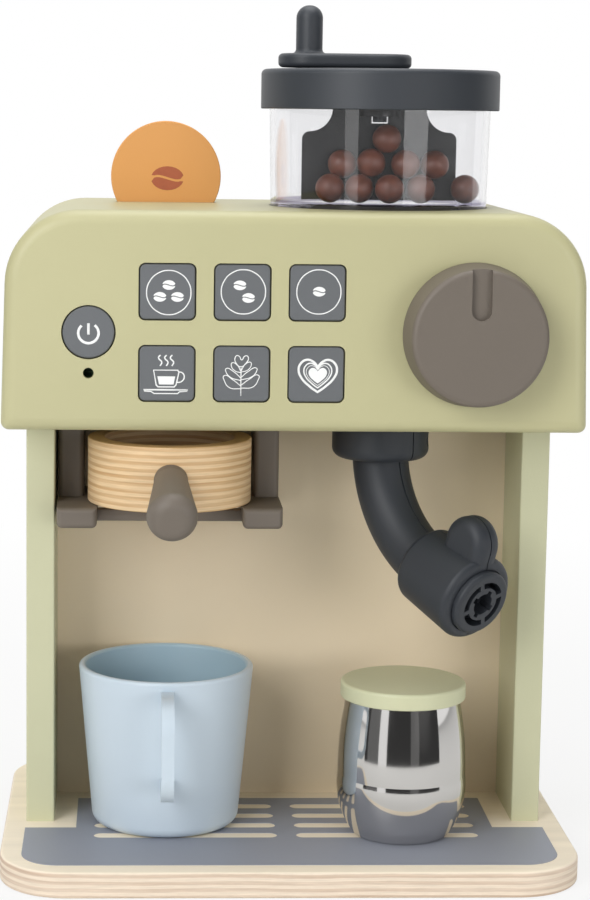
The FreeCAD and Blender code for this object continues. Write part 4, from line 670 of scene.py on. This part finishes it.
def stroke(points, half_width, closed=False, smooth=True, sharp=()):
    """A line of even width through the points, with corners at the sharp ones."""
    line = bpy.data.curves.new("stroke", "CURVE")
    line.dimensions = "3D"
    line.resolution_u = 8
    line.bevel_depth = half_width
    line.bevel_resolution = 2
    line.use_fill_caps = True
    run = line.splines.new("BEZIER")
    run.bezier_points.add(len(points) - 1)
    for number, (knot, (x, z)) in enumerate(zip(run.bezier_points, points)):
        knot.co = (x, 0.0, z)
        kind = "AUTO" if smooth and number not in sharp else "VECTOR"
        knot.handle_left_type = kind
        knot.handle_right_type = kind
    run.use_cyclic_u = closed
    return line


def area(points, smooth=False, sharp=()):
    """A filled patch with this outline."""
    patch = bpy.data.curves.new("patch", "CURVE")
    patch.dimensions = "2D"
    patch.resolution_u = 6
    patch.fill_mode = "BOTH"
    patch.extrude = PATCH_HALF
    run = patch.splines.new("BEZIER")
    run.bezier_points.add(len(points) - 1)
    for number, (knot, (x, z)) in enumerate(zip(run.bezier_points, points)):
        knot.co = (x, z, 0.0)
        kind = "AUTO" if smooth and number not in sharp else "VECTOR"
        knot.handle_left_type = kind
        knot.handle_right_type = kind
    run.use_cyclic_u = True
    return patch


def bean_mark(x, z, half_long=2.45, half_high=1.8, split=0.36):
    """A coffee bean as two patches with a wavy split between them."""
    halves = []
    steps = 12
    turns = [math.pi * n / steps for n in range(1, steps)]
    crease = []
    for n, turn in enumerate(turns, 1):
        along = 2 * n / steps - 1
        crease.append((0.97 * half_long * along, 0.26 * half_high * math.cos(turn) * (1 - abs(along) ** 4)))
    for side in (1, -1):
        rim = [(x + half_long * math.cos(turn), z + side * half_high * math.sin(turn)) for turn in turns]
        low = [(x + along, z + bend + side * split / 2) for along, bend in crease]
        halves.append(area(rim + low))
    return halves


def heart(wide, top, tip, x=0.0):
    """The outline of a heart, its notch about a quarter of the way down."""
    high = top - tip
    half = wide / 2
    side = [(0.24, 0.94), (0.58, 1.0), (0.90, 0.88), (1.0, 0.68), (0.86, 0.45), (0.42, 0.18)]
    right_side = [(x + half * a, tip + high * b) for a, b in side]
    left_side = [(x - half * a, tip + high * b) for a, b in reversed(side)]
    return [(x, tip + high * 0.78)] + right_side + [(x, tip)] + left_side


def printed(name, curves, body, middle, front, ink):
    """Turn curves into one thin raised print on a flat front face."""
    made = []
    for curve in curves:
        piece = bpy.data.objects.new(name, curve)
        bpy.context.scene.collection.objects.link(piece)
        flat = curve.dimensions == "2D"
        piece = bare_copy(piece)
        if flat:
            piece.data.transform(Matrix.Rotation(math.radians(90), 4, "X"))
        made.append(piece)
    bpy.ops.object.select_all(action="DESELECT")
    for piece in made:
        piece.select_set(True)
    bpy.context.view_layer.objects.active = made[0]
    if len(made) > 1:
        bpy.ops.object.join()
    mark = bpy.context.object
    mark.name = name
    mark.data.transform(Matrix.Diagonal((MM, INK_RISE / PATCH_HALF, MM, 1.0)))
    mark.data.transform(Matrix.Translation((middle[0], front, middle[1])))
    work = bmesh.new()
    work.from_mesh(mark.data)
    for point in work.verts:
        point.co.y = min(max(point.co.y, front - INK_RISE), front + INK_RISE)
    bmesh.ops.remove_doubles(work, verts=work.verts, dist=WELD)
    bmesh.ops.recalc_face_normals(work, faces=work.faces)
    work.to_mesh(mark.data)
    work.free()
    mark.data.materials.clear()
    mark.data.materials.append(ink.material)
    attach(mark, body)
    return mark


def key_print(name, node, body, curves):
    """Print white marks on a key."""
    low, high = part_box(node)
    middle = ((low.x + high.x) / 2, (low.z + high.z) / 2)
    return printed(name, curves, body, middle, low.y, white_ink)


def ring(x, z, radius=8.2, half_width=0.22):
    """A thin circle round an icon."""
    turns = [math.pi * step / 6 for step in range(12)]
    points = [(x + radius * math.cos(a), z + radius * math.sin(a)) for a in turns]
    return stroke(points, half_width, closed=True)


key_print("print_three_beans", "button_three_beans", "key_three_beans",
          [ring(0.5, -0.3)] + bean_mark(0.5, 2.5) + bean_mark(-2.8, -1.9) + bean_mark(3.7, -1.9))
key_print("print_two_beans", "button_two_beans", "key_two_beans",
          [ring(0.3, 0.2)] + bean_mark(-1.05, 2.6) + bean_mark(2.2, -2.05))
key_print("print_one_bean", "button_one_bean", "key_one_bean", [ring(0.5, 0.4)] + bean_mark(0.6, 0.5))

# A steaming glass cup on a saucer
STEAM = [(-2.4, 6.9), (-3.1, 5.9), (-1.9, 4.2), (-2.5, 2.8)]
STEAM_STEPS = (0.0, 2.3, 4.4)
CUP = [(-4.9, 1.25), (4.1, 1.25), (4.5, 0.5), (3.5, -4.2), (2.8, -5.0), (-3.2, -5.0), (-3.9, -4.3)]
DRINK = [(-3.5, -1.05), (3.15, -1.05), (2.55, -4.1), (-2.85, -4.1)]
EAR = [(4.4, 0.7), (5.9, 0.2), (6.5, -1.3), (5.7, -2.8), (4.3, -3.3), (3.7, -3.1)]
SAUCER_TOP = [(-8.6, -6.1), (7.9, -6.1)]
SAUCER = [(-8.4, -6.6), (-5.8, -6.75), (-4.7, -7.5), (4.1, -7.5), (4.8, -6.8), (7.7, -6.6)]
cup_marks = [stroke([(x + step, z) for x, z in STEAM], 0.27) for step in STEAM_STEPS]
cup_marks += [
    stroke(CUP, 0.25, closed=True, smooth=False),
    area(DRINK),
    stroke(EAR, 0.24),
    stroke(SAUCER_TOP, 0.3, smooth=False),
    stroke(SAUCER, 0.22, smooth=False),
]
key_print("print_cup", "button_cup", "key_cup", cup_marks)

# A fern of milk foam: a stem, a heart-shaped tip and three pairs of leaves
STEM = [(-0.2, 2.3), (-0.2, -8.2)]
TIP = [
    (-0.3, 2.7), (-2.2, 4.3), (-2.5, 6.0), (-1.8, 6.9), (-0.8, 6.5),
    (0.0, 5.3), (1.0, 6.6), (2.0, 6.8), (2.5, 5.8), (1.7, 4.2),
]
RIGHT_LEAVES = [
    [(0.0, 0.7), (2.6, 1.6), (3.8, 3.6), (3.5, 4.4), (1.6, 3.7), (0.0, 1.1)],
    [(0.0, -2.2), (4.0, -1.0), (5.8, 1.1), (5.8, 2.2), (2.7, 1.0), (0.0, -1.3)],
    [(0.0, -5.3), (4.5, -4.8), (6.4, -2.2), (6.6, -0.5), (3.0, -2.0), (0.2, -4.1)],
]
leaf_marks = [stroke(STEM, 0.2, smooth=False), stroke(TIP, 0.18, closed=True)]
for leaf in RIGHT_LEAVES:
    leaf_marks.append(stroke([(x - 0.2, z) for x, z in leaf], 0.17))
    leaf_marks.append(stroke([(-0.97 * x - 0.2, z - 0.25) for x, z in leaf], 0.17))
key_print("print_leaf", "button_leaf", "key_leaf", leaf_marks)

# Three heart outlines round a filled one, with corners at the notch and the tip
HEART_CORNERS = (0, 7)
heart_marks = [
    stroke(heart(14.3, 5.5, -6.6, 0.6), 0.44, closed=True, sharp=HEART_CORNERS),
    stroke(heart(10.4, 4.2, -5.0, 0.6), 0.26, closed=True, sharp=HEART_CORNERS),
    stroke(heart(8.6, 3.3, -4.1, 0.6), 0.12, closed=True, sharp=HEART_CORNERS),
    area(heart(6.9, 2.5, -3.3, 0.6), smooth=True, sharp=HEART_CORNERS),
]
key_print("print_heart", "button_heart", "key_heart", heart_marks)

# The power sign: a ring open at the top and a bar
POWER_RADIUS = 3.75
POWER_DROP = 0.35
power_turns = [math.radians(angle) for angle in range(38, 323, 20)]
power_ring = [(POWER_RADIUS * math.sin(a), POWER_RADIUS * math.cos(a) - POWER_DROP) for a in power_turns]
key_print("print_power", "power_button", "power_key",
          [stroke(power_ring, 0.5), stroke([(0.0, 3.3), (0.0, -0.9)], 0.5, smooth=False)])

coin_low, coin_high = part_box("coffee_coin")
coin_middle = ((coin_low.x + coin_high.x) / 2 + 0.6 * MM, (coin_low.z + coin_high.z) / 2 - 0.8 * MM)
coin_mark = printed("print_coin_bean", bean_mark(0.0, 0.0, 6.6, 4.8, 0.9), "coin",
                    coin_middle, coin_low.y, brown_ink)
